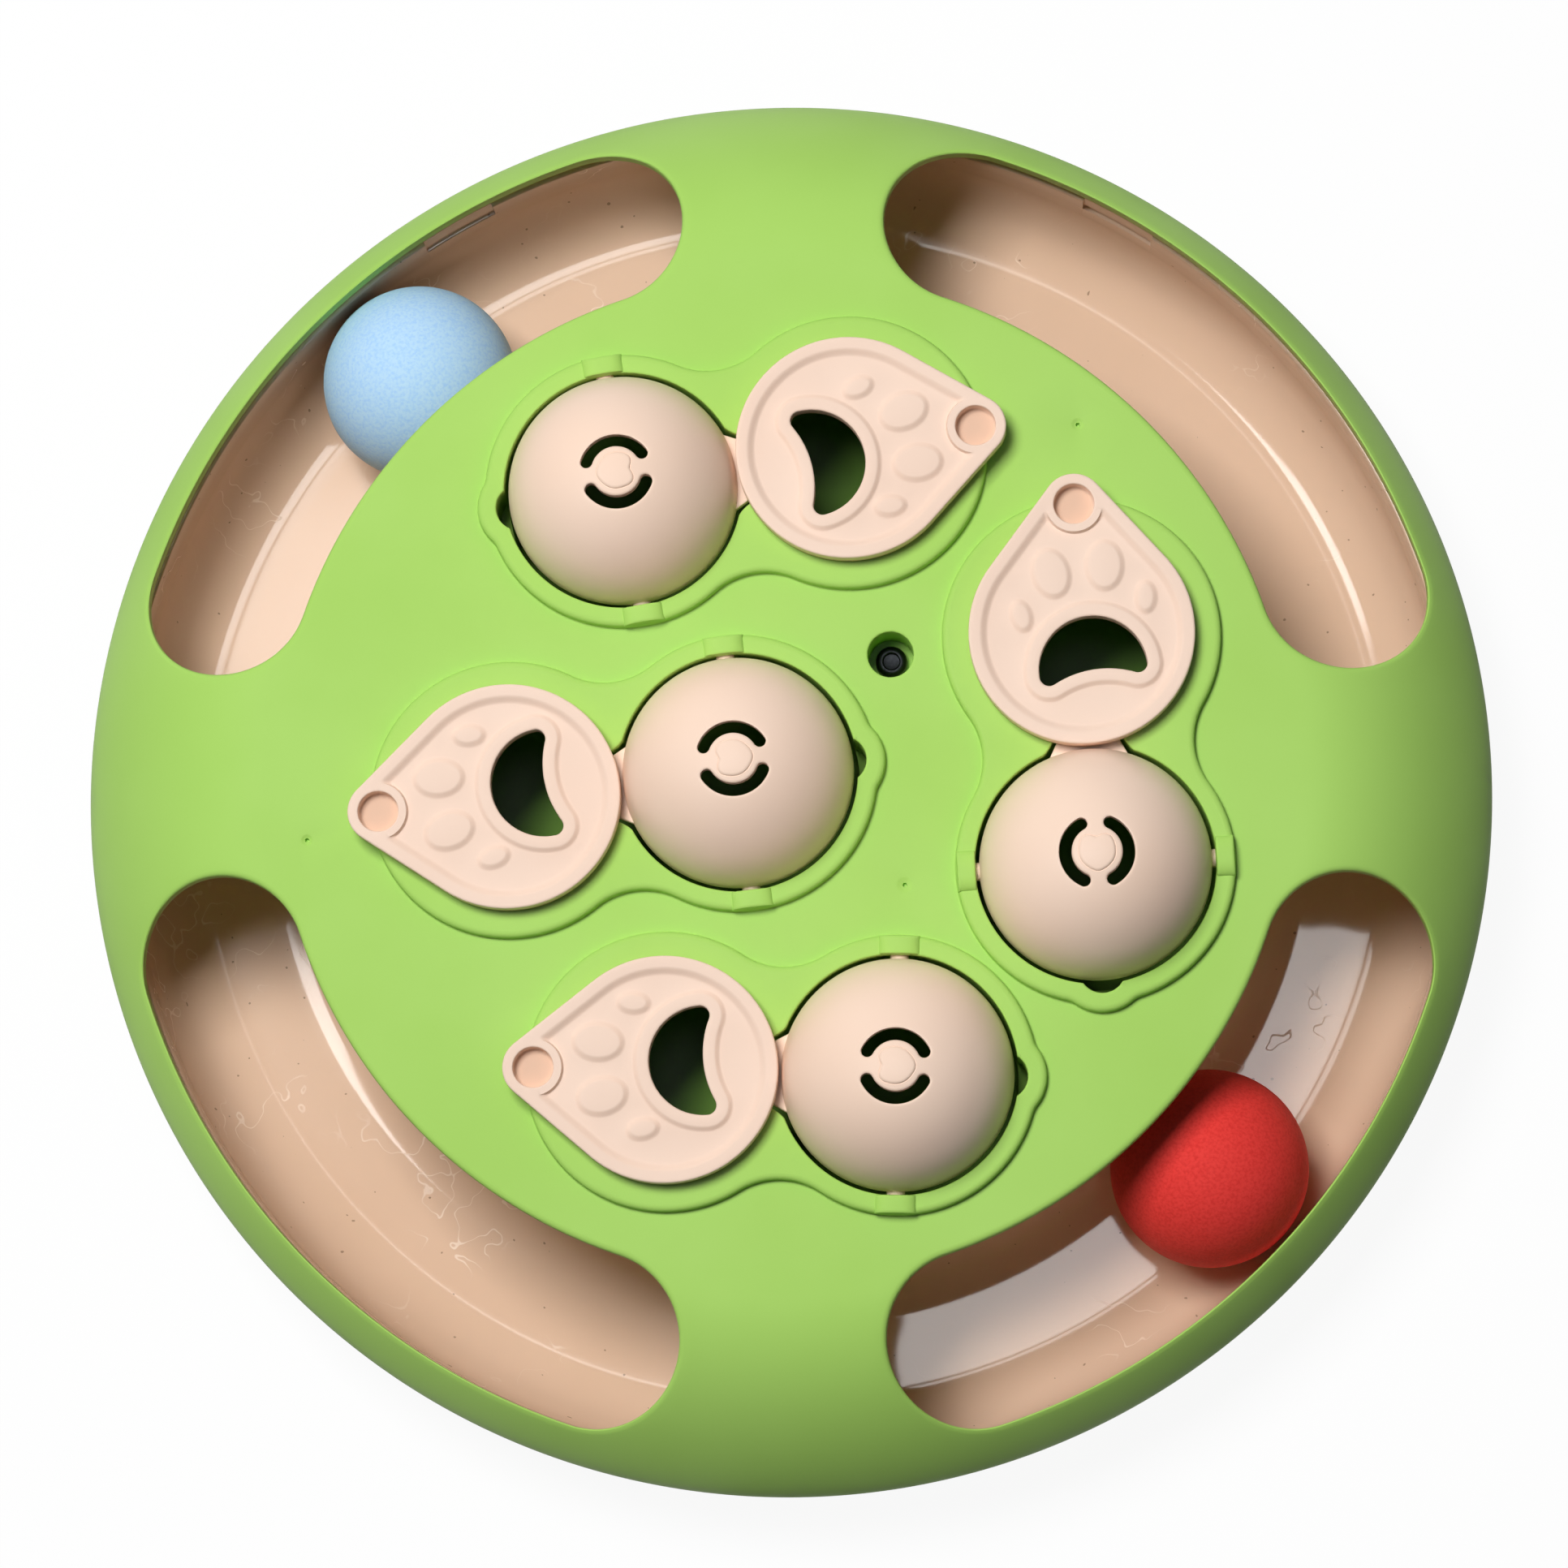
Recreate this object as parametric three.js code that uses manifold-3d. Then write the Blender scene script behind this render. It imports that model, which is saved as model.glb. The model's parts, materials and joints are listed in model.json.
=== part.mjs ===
// Round puzzle feeder for pets: a green cover over a tan ball track. Four treat compartments in the deck each
// have a half-ball dome that flips on two pins and a drop-shaped lid that swings aside on a post.
// Millimetres, +Z up, origin on the floor under the middle of the base.

import * as THREE from 'three';
import { mergeVertices } from 'three/addons/utils/BufferGeometryUtils.js';
import Module from 'manifold-3d';

const wasm = await Module();
wasm.setup();

// Clearances
const SEAT_GAP = 0.3;
const PIN_PLAY = 0.3;
const SLIDE_PLAY = 0.4;

// Balls
const BALL_D = 35;
const BALL_PLAY = 0.95;
const BALL_HEADROOM = 8.2;
const BALL_BLUE_DEG = 131.6;
const BALL_RED_DEG = -42.2;

// Feet and base
const FOOT_R = 8;
const FOOT_STANDS = 1.2;
const FOOT_SUNK = 0.6;
const FOOT_COUNT = 4;
const PLATE_T = 2.2;
const TROUGH_WALL = 2;
const TROUGH_CORNER_R = 10.6;
const FLANGE_T = 1.5;

// Cover
const COVER_R = 125;
const COVER_WALL = 2.2;
const DECK_WALL = 2.4;
const DECK_FALLS_AT = 34;
const SHOULDER_H = 26;
const SHOULDER_PULL = 20;
const RIM_PULL = 3.5;
const RIM_TUCK = 3.5;
const RIM_GAP = 2;
const LIP_W = 6.3;
const WINDOW_W = 30.1;
const SPOKE_HALF_DEG = 18.5;
const SPOKE_COUNT = 4;

// Snaps between cover and base: a thinned panel in the trough's outer wall with a barb behind it
const SNAP_COUNT = 6;
const SNAP_W = 14;
const SNAP_H = 5.5;
const SNAP_THINNED = 0.7;
const BARB_W = 10;
const BARB_OUT = 0.9;
const BARB_H = 2;
const BARB_DROP = 2;

// Deck screw, which stands clear of the middle dome's platform
const SCREW_CLEAR = 9.5;
const SCREW_WAY_DEG = 38.1;
const SCREW_WELL_R = 4;
const SCREW_WELL_DEPTH = 10;
const SCREW_WELL_WALL = 1.6;
const SCREW_HEAD_R = 2.8;
const SCREW_HEAD_H = 2.2;
const SCREW_SOCKET_R = 1.4;
const SCREW_SHANK_R = 1.5;
const SCREW_SHANK_L = 14;
const SCREW_PILLAR_R = 5;

// Platforms
const PLATFORM_H = 2;
const PLATFORM_BAND = 3.5;
const PLATFORM_EDGE = 0.6;
const PLATFORM_NECK_R = 13;
const LID_LEDGE = 4.6;
const WELL_WALL = 1.8;
const WELL_SPARE = 2;

// Domes. The span is the angle that a dome beside the track takes up, seen from the deck's middle.
const DOME_SPAN_DEG = 41.6;
const DOME_WALL = 1.8;
const DOME_SINK = 2.4;
const DOME_GAP = 0.55;
const PIN_R = 1.6;
const PIN_L = 2.2;
const PIN_COVER = 1.5;
const TAB_REACH = 4.35;
const TAB_T = 1.8;
const TAB_ROOT_W = 16;
const TAB_END_W = 8.8;
const SLOT_R = 5.4;
const SLOT_STROKE = 2.1;
const SLOT_HALF_DEG = 63;
const MARK_R = 3.4;
const MARK_LOBE_R = 0.9;
const MARK_LOBE_DEG = 40;
const MARK_HOLLOW_R = 2.5;
const MARK_H = 0.25;
const CLAW_W = 8;
const CLAW_DEPTH = 1.6;
const CLAW_DROP = 12;
const CLAW_WALL = 3.3;
const CLAW_BLEND_R = 4;

// Lids. The span is the angle that a lid's round takes up, seen from its dome. The tip's angle is the one
// between its straight sides.
const LID_SPAN_DEG = 58.7;
const LID_TIP_DEG = 78.563;
const LID_TIP_R = 5.35;
const LID_T = 3.5;
const LID_SINK = 0.9;
const LID_BORDER = 3;
const LID_GAP = 0.25;
const LID_LAP = 3.6;
const RELIEF_H = 0.7;
const TIP_COLLAR_R = 4.9;
const TIP_CUP_R = 3.5;
const TIP_CUP_DEPTH = 2.1;
const POST_R = 2.7;
const POST_BOSS_DROP = 2;
const WASHER_T = 1;
const LID_SCREW_R = 1.2;
const LID_SCREW_L = 7.4;
const LID_SCREW_HEAD_R = 2.6;
const LID_SCREW_HEAD_H = 1.8;

// Paw motif on a lid: a pad-shaped hole and four toes, turned a little on the lid. PAW_LID_R is the lid
// radius that these sizes go with.
const PAW_LID_R = 19.6;
const PAW_TURN_DEG = 5.5;
const PAW_SHIFT = -1;
const PAD_AT = -3.7;
const PAD_W = 18.8;
const PAD_LOBE_R = 1.65;
const PAD_RISE = 0.05;
const PAD_TOP = 6.35;
const PAD_RIM = 2.4;
const BIG_TOE = { along: 11.1, aside: 4.7, length: 8.6, width: 6.4 };
const SMALL_TOE = { along: 4.5, aside: 10.9, length: 5.4, width: 3.5 };
const TOE_SPLAY_DEG = 8;

// Where each compartment's dome sits, and which way its lid points. One dome is near the middle of the deck,
// and the others stand against the track's inner wall.
const MIDDLE_COMPARTMENT = { dome_deg: 183.6, lid_deg: 186.5, dome_at_r: 7.7 };
const COMPARTMENTS = [
  { dome_deg: 119.4, lid_deg: 9.4 },
  MIDDLE_COMPARTMENT,
  { dome_deg: 290.5, lid_deg: 179 },
  { dome_deg: 342.8, lid_deg: 93.1 },
];

// How far a flat facet may stand off its true curve, and the fewest facets round a full turn
const FACET = 0.35;
const FEWEST_FACETS = 10;
const SHOULDER_STEPS = 6;
const TUCK_STEPS = 3;

const radians = THREE.MathUtils.degToRad;

// Levels worked out from the sizes above
const BALL_R = BALL_D / 2;
const PLATE_Z = FOOT_STANDS;
const FLOOR_Z = PLATE_Z + PLATE_T;
const DECK_UNDER_Z = FLOOR_Z + BALL_D + BALL_HEADROOM;
const DECK_Z = DECK_UNDER_Z + DECK_WALL;
const DECK_CORE_Z = DECK_UNDER_Z + DECK_WALL / 4;
const WIDEST_Z = DECK_Z - SHOULDER_H;
const COVER_FOOT_Z = PLATE_Z + FLANGE_T + SEAT_GAP;
const PLATFORM_Z = DECK_Z + PLATFORM_H;
const PIVOT_Z = PLATFORM_Z - DOME_SINK;
const LID_Z = PLATFORM_Z + SEAT_GAP;
const LID_TOP_Z = LID_Z + LID_T;
const LID_PLATE_Z = LID_TOP_Z - LID_SINK;
const BALL_Z = FLOOR_Z + BALL_R + SEAT_GAP / 2;

// Radii worked out from the sizes above
const TROUGH_OUT_R = COVER_R - COVER_WALL - RIM_GAP - TROUGH_WALL;
const TROUGH_IN_R = TROUGH_OUT_R - BALL_D - 2 * BALL_PLAY;
const TRACK_R = (TROUGH_OUT_R + TROUGH_IN_R) / 2;
const WINDOW_OUT_R = COVER_R - LIP_W;
const WINDOW_IN_R = WINDOW_OUT_R - WINDOW_W;
const DECK_FLAT_R = COVER_R - DECK_FALLS_AT;
const WELLS_IN_R = TROUGH_IN_R - TROUGH_WALL - FACET - SEAT_GAP - WELL_WALL;
const DOME_SPAN = Math.sin(radians(DOME_SPAN_DEG / 2));
const DOME_R = ((WELLS_IN_R - DOME_GAP) * DOME_SPAN) / (1 + DOME_SPAN);
const DOME_WELL_R = DOME_R + DOME_GAP;
const DOME_RING_R = WELLS_IN_R - DOME_WELL_R;
const LID_SPAN = Math.sin(radians(LID_SPAN_DEG / 2));
const LID_R = ((DOME_R + LID_GAP) * LID_SPAN) / (1 - LID_SPAN);
const LID_REACH = (LID_R - LID_TIP_R) / Math.sin(radians(LID_TIP_DEG / 2));
const LID_PITCH = DOME_R + LID_R + LID_GAP;
const TIP_PITCH = LID_PITCH + LID_REACH;
const LID_WELL_R = LID_R - LID_LAP;
const TAB_END = DOME_R + TAB_REACH;
const WELL_FLOOR_Z = PIVOT_Z - TAB_END - WELL_SPARE;
const BEARING_R = PIN_R + PIN_PLAY + PIN_COVER;
const WASHER_R = LID_REACH - LID_WELL_R - WELL_WALL - SEAT_GAP;
const POST_BOSS_Z = DECK_UNDER_Z - POST_BOSS_DROP;
const POST_END_Z = POST_BOSS_Z - SEAT_GAP;
const SCREW_SEAT_Z = DECK_Z - SCREW_WELL_DEPTH;
const SCREW_BOSS_Z = SCREW_SEAT_Z - DECK_WALL;

const CUT_MARGIN = 1;
const MERGE_WITHIN = 1e-4;

// Facets that an arc of this radius and sweep needs.
function facets(radius, sweep = 2 * Math.PI) {
  const widest = Math.min(2 * Math.acos(1 - FACET / radius), (2 * Math.PI) / FEWEST_FACETS);
  return Math.ceil(Math.abs(sweep) / widest - FACET);
}

// Points of an arc from one angle to another, turning clockwise where the second angle is smaller.
function arc(x, y, radius, from, to) {
  const count = facets(radius, to - from);
  const points = [];
  for (let i = 0; i <= count; i += 1) {
    const angle = from + ((to - from) * i) / count;
    points.push(new THREE.Vector2(x + radius * Math.cos(angle), y + radius * Math.sin(angle)));
  }
  return points;
}

function finish(color, roughness, metalness = 0) {
  return new THREE.MeshStandardMaterial({ color, roughness, metalness });
}

const GREEN_PLASTIC = finish(0x9ed45f, 0.5);
const TAN_GLOSS = finish(0xd2ae92, 0.2);
const DOME_SATIN = finish(0xe3c8ae, 0.45);
const LID_MATTE = finish(0xf4d6c2, 0.6);
const BLUE_FOAM = finish(0x9cc8f5, 0.8);
const RED_FOAM = finish(0xd02c34, 0.8);
const STEEL = finish(0x8f9294, 0.35, 1);
const NYLON = finish(0xe9e6df, 0.5);
const RUBBER = finish(0x2b2c2b, 0.9);

// A closed geometry becomes a solid whose faces point out, whichever way its outline ran.
function solid(geometry) {
  const bare = geometry.index ? geometry.toNonIndexed() : geometry.clone();
  bare.deleteAttribute('normal');
  bare.deleteAttribute('uv');
  const merged = mergeVertices(bare, MERGE_WITHIN);
  const place = merged.attributes.position;
  const corners = merged.index.array;
  const a = new THREE.Vector3();
  const b = new THREE.Vector3();
  const c = new THREE.Vector3();
  const triangles = [];
  let volume = 0;
  for (let i = 0; i < corners.length; i += 3) {
    const [p, q, r] = corners.slice(i, i + 3);
    if (p === q || q === r || r === p) continue;
    triangles.push([p, q, r]);
    a.fromBufferAttribute(place, p);
    b.fromBufferAttribute(place, q);
    c.fromBufferAttribute(place, r);
    volume += a.dot(b.cross(c));
  }
  if (volume < 0) triangles.forEach((triangle) => triangle.reverse());
  const vertProperties = new Float32Array(place.array);
  const triVerts = new Uint32Array(triangles.flat());
  return new wasm.Manifold(new wasm.Mesh({ numProp: 3, vertProperties, triVerts }));
}

function join(geometries) {
  return geometries.map(solid).reduce((whole, piece) => whole.add(piece));
}

function cut(body, geometries) {
  return geometries.map(solid).reduce((rest, tool) => rest.subtract(tool), body);
}

function part(name, body, material) {
  const { vertProperties, triVerts } = body.getMesh();
  const geometry = new THREE.BufferGeometry();
  geometry.setAttribute('position', new THREE.BufferAttribute(new Float32Array(vertProperties), 3));
  geometry.setIndex(new THREE.BufferAttribute(new Uint32Array(triVerts), 1));
  geometry.computeVertexNormals();
  const mesh = new THREE.Mesh(geometry, material);
  mesh.name = name;
  return mesh;
}

// A profile of [radius, height] points turned about Z.
function turned(profile) {
  const points = profile.map(([r, z]) => new THREE.Vector2(r, z));
  const quarter = facets(Math.max(...profile.map(([r]) => r)), Math.PI / 2);
  return new THREE.LatheGeometry(points, 4 * quarter).rotateX(Math.PI / 2);
}

function disc(radius, low, high, x = 0, y = 0) {
  const profile = [[0, low], [radius, low], [radius, high], [0, high]];
  return turned(profile).translate(x, y, 0);
}

function prism(shape, low, high) {
  const options = { depth: high - low, bevelEnabled: false };
  return new THREE.ExtrudeGeometry(shape, options).translate(0, 0, low);
}

function block(low, high) {
  const size = high.map((value, i) => value - low[i]);
  const middle = high.map((value, i) => (value + low[i]) / 2);
  return new THREE.BoxGeometry(...size).translate(...middle);
}

// A rod along Y, as the dome's pins lie.
function crossRod(radius, from, to, z) {
  const rod = new THREE.CylinderGeometry(radius, radius, to - from, facets(radius));
  return rod.translate(0, (from + to) / 2, z);
}

// The point where two touching circles meet. A hollow circle lies outside the outline.
function touchPoint(one, two) {
  const centre = new THREE.Vector2(one.x, one.y);
  const other = new THREE.Vector2(two.x, two.y);
  if (one.hollow !== two.hollow) return centre.lerp(other, one.r / (one.r + two.r));
  const [large, small] = one.r > two.r ? [centre, other] : [other, centre];
  const way = small.sub(large).setLength(Math.max(one.r, two.r));
  return large.clone().add(way);
}

// An outline that runs counter-clockwise from circle to touching circle.
function chain(circles) {
  const points = circles.flatMap((circle, i) => {
    const before = circles[(i + circles.length - 1) % circles.length];
    const after = circles[(i + 1) % circles.length];
    const start = touchPoint(before, circle);
    const end = touchPoint(circle, after);
    const from = Math.atan2(start.y - circle.y, start.x - circle.x);
    let to = Math.atan2(end.y - circle.y, end.x - circle.x);
    if (circle.hollow && to > from) to -= 2 * Math.PI;
    if (!circle.hollow && to < from) to += 2 * Math.PI;
    return arc(circle.x, circle.y, circle.r, from, to).slice(1);
  });
  return new THREE.Shape(points);
}

// A hollow circle of radius r that touches two circles whose centres lie on the X axis.
function blend(one, two, r, side) {
  const gap = two.x - one.x;
  const reachOne = one.r + r;
  const reachTwo = two.r + r;
  const along = (gap ** 2 + reachOne ** 2 - reachTwo ** 2) / (2 * gap);
  const y = side * Math.sqrt(reachOne ** 2 - along ** 2);
  return { x: one.x + along, y, r, hollow: true };
}

// Cover's outer line from the deck's flat to its widest line, and the same line moved in by the wall.
function shoulder(inset) {
  const curve = new THREE.CubicBezierCurve(
    new THREE.Vector2(DECK_FLAT_R, DECK_Z),
    new THREE.Vector2(DECK_FLAT_R + SHOULDER_PULL, DECK_Z),
    new THREE.Vector2(COVER_R, WIDEST_Z + RIM_PULL),
    new THREE.Vector2(COVER_R, WIDEST_Z),
  );
  const points = [];
  for (let i = 0; i <= SHOULDER_STEPS; i += 1) {
    const point = curve.getPoint(i / SHOULDER_STEPS);
    const tangent = curve.getTangent(i / SHOULDER_STEPS);
    points.push([point.x + tangent.y * inset, point.y - tangent.x * inset]);
  }
  return points;
}

// Height of the cover's inner face at a radius.
function coverInsideZ(radius) {
  const line = shoulder(COVER_WALL);
  const i = line.findIndex(([r]) => r > radius);
  const [r0, z0] = line[i - 1];
  const [r1, z1] = line[i];
  return z0 + ((z1 - z0) * (radius - r0)) / (r1 - r0);
}

// The rim below the widest line, drawn in towards the floor.
function tuck(radius) {
  const curve = new THREE.QuadraticBezierCurve(
    new THREE.Vector2(radius, WIDEST_Z),
    new THREE.Vector2(radius, COVER_FOOT_Z + RIM_TUCK),
    new THREE.Vector2(radius - RIM_TUCK, COVER_FOOT_Z),
  );
  return curve.getPoints(TUCK_STEPS).slice(1).map((point) => [point.x, point.y]);
}

function coverShell() {
  const outside = [[0, DECK_Z], ...shoulder(0), ...tuck(COVER_R)];
  const insideRim = [...shoulder(COVER_WALL).slice(1), ...tuck(COVER_R - COVER_WALL)];
  const inside = [[0, DECK_UNDER_Z], [DECK_FLAT_R, DECK_UNDER_Z], ...insideRim];
  return turned([...outside, ...inside.reverse()]);
}

// A window is a ring sector with fully round ends.
function coverWindow(spokeDeg) {
  const capR = (WINDOW_OUT_R - WINDOW_IN_R) / 2;
  const middleR = (WINDOW_OUT_R + WINDOW_IN_R) / 2;
  const from = radians(spokeDeg + SPOKE_HALF_DEG);
  const to = radians(spokeDeg + 360 / SPOKE_COUNT - SPOKE_HALF_DEG);
  const outline = [
    ...arc(0, 0, WINDOW_OUT_R, from, to).slice(1),
    ...arc(middleR * Math.cos(to), middleR * Math.sin(to), capR, to, to + Math.PI).slice(1),
    ...arc(0, 0, WINDOW_IN_R, to, from).slice(1),
    ...arc(middleR * Math.cos(from), middleR * Math.sin(from), capR, from - Math.PI, from).slice(1),
  ];
  return prism(new THREE.Shape(outline), WIDEST_Z, DECK_Z + CUT_MARGIN);
}

// Figure-of-eight platform: a lobe round the dome, a lobe round the lid, and a bulge round the claw notch.
function platform() {
  const dome = { x: 0, y: 0, r: DOME_WELL_R + PLATFORM_BAND };
  const lid = { x: LID_PITCH, y: 0, r: LID_R + LID_LEDGE };
  const bulge = { x: -DOME_WELL_R - CLAW_DEPTH - CLAW_WALL + CLAW_W, y: 0, r: CLAW_W };
  const shape = chain([
    lid,
    blend(dome, lid, PLATFORM_NECK_R, 1),
    dome,
    blend(bulge, dome, CLAW_BLEND_R, 1),
    bulge,
    blend(bulge, dome, CLAW_BLEND_R, -1),
    dome,
    blend(dome, lid, PLATFORM_NECK_R, -1),
  ]);
  const options = {
    depth: PLATFORM_Z - DECK_CORE_Z - 2 * PLATFORM_EDGE,
    bevelThickness: PLATFORM_EDGE,
    bevelSize: PLATFORM_EDGE,
    bevelOffset: -PLATFORM_EDGE,
    bevelSegments: 1,
  };
  return new THREE.ExtrudeGeometry(shape, options).translate(0, 0, DECK_CORE_Z + PLATFORM_EDGE);
}

// What one compartment adds under and on the deck.
function compartmentBody() {
  const low = WELL_FLOOR_Z - WELL_WALL;
  const bearingFrom = DOME_WELL_R + SEAT_GAP;
  const bearingTo = DOME_WELL_R + PLATFORM_BAND - SEAT_GAP;
  const clawX = -DOME_WELL_R - CLAW_DEPTH + CLAW_W / 2;
  const clawLow = PLATFORM_Z - CLAW_DROP - WELL_WALL;
  return [
    platform(),
    disc(DOME_WELL_R + WELL_WALL, low, DECK_CORE_Z),
    disc(LID_WELL_R + WELL_WALL, low, DECK_CORE_Z, LID_PITCH),
    crossRod(BEARING_R, bearingFrom, bearingTo, PIVOT_Z),
    crossRod(BEARING_R, -bearingTo, -bearingFrom, PIVOT_Z),
    disc(CLAW_W / 2 + WELL_WALL, clawLow, DECK_CORE_Z, clawX),
    disc(WASHER_R + 2 * SEAT_GAP, POST_BOSS_Z, DECK_CORE_Z, TIP_PITCH),
    disc(WASHER_R, DECK_CORE_Z, PLATFORM_Z, TIP_PITCH),
  ];
}

// The tab's outline, widest at the dome.
function tabShape(play) {
  const root = TAB_ROOT_W / 2 + play;
  const end = TAB_END_W / 2 + play;
  const shape = new THREE.Shape();
  shape.moveTo(DOME_R - 2 * DOME_WALL, -root);
  shape.lineTo(TAB_END + play, -end);
  shape.lineTo(TAB_END + play, end);
  shape.lineTo(DOME_R - 2 * DOME_WALL, root);
  return shape;
}

// What one compartment cuts away: the wells, the tab's way down, pin holes, claw notch and post hole.
function compartmentCuts() {
  const top = PLATFORM_Z + BEARING_R;
  const pinHole = PIN_R + PIN_PLAY;
  const pinEnd = DOME_R + PIN_L + PIN_PLAY;
  const clawX = -DOME_WELL_R - CLAW_DEPTH + CLAW_W / 2;
  return [
    disc(DOME_WELL_R, WELL_FLOOR_Z, top),
    disc(LID_WELL_R, WELL_FLOOR_Z, top, LID_PITCH),
    prism(tabShape(SLIDE_PLAY), WELL_FLOOR_Z, top),
    crossRod(pinHole, DOME_R - DOME_WALL, pinEnd, PIVOT_Z),
    crossRod(pinHole, -pinEnd, -DOME_R + DOME_WALL, PIVOT_Z),
    disc(CLAW_W / 2, PLATFORM_Z - CLAW_DROP, top, clawX),
    disc(POST_R + PIN_PLAY, POST_BOSS_Z - CUT_MARGIN, top, TIP_PITCH),
  ];
}

function domePlace({ dome_deg, dome_at_r = DOME_RING_R }) {
  const angle = radians(dome_deg);
  return [dome_at_r * Math.cos(angle), dome_at_r * Math.sin(angle)];
}

function screwPlace() {
  const [x, y] = domePlace(MIDDLE_COMPARTMENT);
  const reach = DOME_WELL_R + PLATFORM_BAND + SCREW_CLEAR;
  const angle = radians(SCREW_WAY_DEG);
  return [x + reach * Math.cos(angle), y + reach * Math.sin(angle)];
}

// A box that stands on the X axis, turned to one of the snaps.
function atSnap(geometry, i) {
  return geometry.rotateZ((i * 2 * Math.PI) / SNAP_COUNT);
}

const OUTER_WALL_TOP = coverInsideZ(TROUGH_OUT_R + TROUGH_WALL) - SLIDE_PLAY;
const INNER_WALL_TOP = Math.min(DECK_UNDER_Z, PIVOT_Z - BEARING_R) - SLIDE_PLAY;
const BARB_Z = OUTER_WALL_TOP - BARB_DROP - BARB_H;
const BARB_R = TROUGH_OUT_R + TROUGH_WALL + BARB_OUT;

// The cover's catch lies below the barb, so the base can't drop out.
function snapCatch(i) {
  const inner = TROUGH_OUT_R + TROUGH_WALL + SLIDE_PLAY;
  const low = [inner, -BARB_W / 2, BARB_Z - SLIDE_PLAY - BARB_H];
  const high = [COVER_R - COVER_WALL / 2, BARB_W / 2, BARB_Z - SLIDE_PLAY];
  return atSnap(block(low, high), i);
}

function topCover(places) {
  const [x, y] = screwPlace();
  const windows = [];
  for (let i = 0; i < SPOKE_COUNT; i += 1) windows.push(coverWindow((i * 360) / SPOKE_COUNT));
  const wellOuter = SCREW_WELL_R + SCREW_WELL_WALL;
  const added = [disc(wellOuter, SCREW_BOSS_Z, DECK_CORE_Z, x, y)];
  for (let i = 0; i < SNAP_COUNT; i += 1) added.push(snapCatch(i));
  const removed = [
    disc(SCREW_WELL_R, SCREW_SEAT_Z, DECK_Z + CUT_MARGIN, x, y),
    disc(SCREW_SHANK_R + PIN_PLAY, SCREW_BOSS_Z - CUT_MARGIN, DECK_Z, x, y),
  ];
  for (const place of places) {
    added.push(...compartmentBody().map((geometry) => geometry.applyMatrix4(place)));
    removed.push(...compartmentCuts().map((geometry) => geometry.applyMatrix4(place)));
  }
  const shell = cut(solid(coverShell()), windows);
  return cut(shell.add(join(added)), removed);
}

// Round corner of a turned profile, from one angle to another.
function corner(x, z, radius, fromDeg, toDeg) {
  return arc(x, z, radius, radians(fromDeg), radians(toDeg)).map((point) => [point.x, point.y]);
}

// The base in section: a plate, a flange under the cover's rim and a round-cornered trough.
function basePlate() {
  const cornerZ = FLOOR_Z + TROUGH_CORNER_R;
  const inX = TROUGH_IN_R + TROUGH_CORNER_R;
  const outX = TROUGH_OUT_R - TROUGH_CORNER_R;
  const outerR = TROUGH_CORNER_R + TROUGH_WALL;
  const flangeTop = PLATE_Z + FLANGE_T;
  const meetDeg = -THREE.MathUtils.radToDeg(Math.asin((cornerZ - flangeTop) / outerR));
  return turned([
    [0, PLATE_Z],
    [COVER_R - RIM_TUCK, PLATE_Z],
    [COVER_R - RIM_TUCK, flangeTop],
    ...corner(outX, cornerZ, outerR, meetDeg, 0),
    [TROUGH_OUT_R + TROUGH_WALL, OUTER_WALL_TOP],
    [TROUGH_OUT_R, OUTER_WALL_TOP],
    ...corner(outX, cornerZ, TROUGH_CORNER_R, 0, -90),
    ...corner(inX, cornerZ, TROUGH_CORNER_R, -90, -180),
    [TROUGH_IN_R, INNER_WALL_TOP],
    [TROUGH_IN_R - TROUGH_WALL, INNER_WALL_TOP],
    [TROUGH_IN_R - TROUGH_WALL, FLOOR_Z],
    [0, FLOOR_Z],
  ]);
}

function snapBarb(i) {
  const low = [TROUGH_OUT_R + TROUGH_WALL / 2, -BARB_W / 2, BARB_Z];
  return atSnap(block(low, [BARB_R, BARB_W / 2, BARB_Z + BARB_H]), i);
}

// The pocket that thins the wall, open at the top.
function snapPocket(i) {
  const low = [TROUGH_OUT_R - CUT_MARGIN, -SNAP_W / 2, OUTER_WALL_TOP - SNAP_H];
  const high = [TROUGH_OUT_R + SNAP_THINNED, SNAP_W / 2, OUTER_WALL_TOP + CUT_MARGIN];
  return atSnap(block(low, high), i);
}

function footPlace(i) {
  const angle = ((i + 0.5) * 2 * Math.PI) / FOOT_COUNT;
  return [TRACK_R * Math.cos(angle), TRACK_R * Math.sin(angle)];
}

function trackBase() {
  const [x, y] = screwPlace();
  const pillarTop = SCREW_BOSS_Z - SEAT_GAP;
  const added = [disc(SCREW_PILLAR_R, PLATE_Z + PLATE_T / 2, pillarTop, x, y)];
  const bore = SCREW_SHANK_R + PIN_PLAY;
  const boreLow = SCREW_SEAT_Z - SCREW_SHANK_L - CUT_MARGIN;
  const removed = [disc(bore, boreLow, pillarTop + CUT_MARGIN, x, y)];
  for (let i = 0; i < SNAP_COUNT; i += 1) {
    added.push(snapBarb(i));
    removed.push(snapPocket(i));
  }
  for (let i = 0; i < FOOT_COUNT; i += 1) {
    const low = PLATE_Z - CUT_MARGIN;
    const high = PLATE_Z + FOOT_SUNK + SEAT_GAP;
    removed.push(disc(FOOT_R + SEAT_GAP, low, high, ...footPlace(i)));
  }
  return cut(solid(basePlate()).add(join(added)), removed);
}

function foot(i) {
  return solid(disc(FOOT_R, 0, FOOT_STANDS + FOOT_SUNK, ...footPlace(i)));
}

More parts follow.
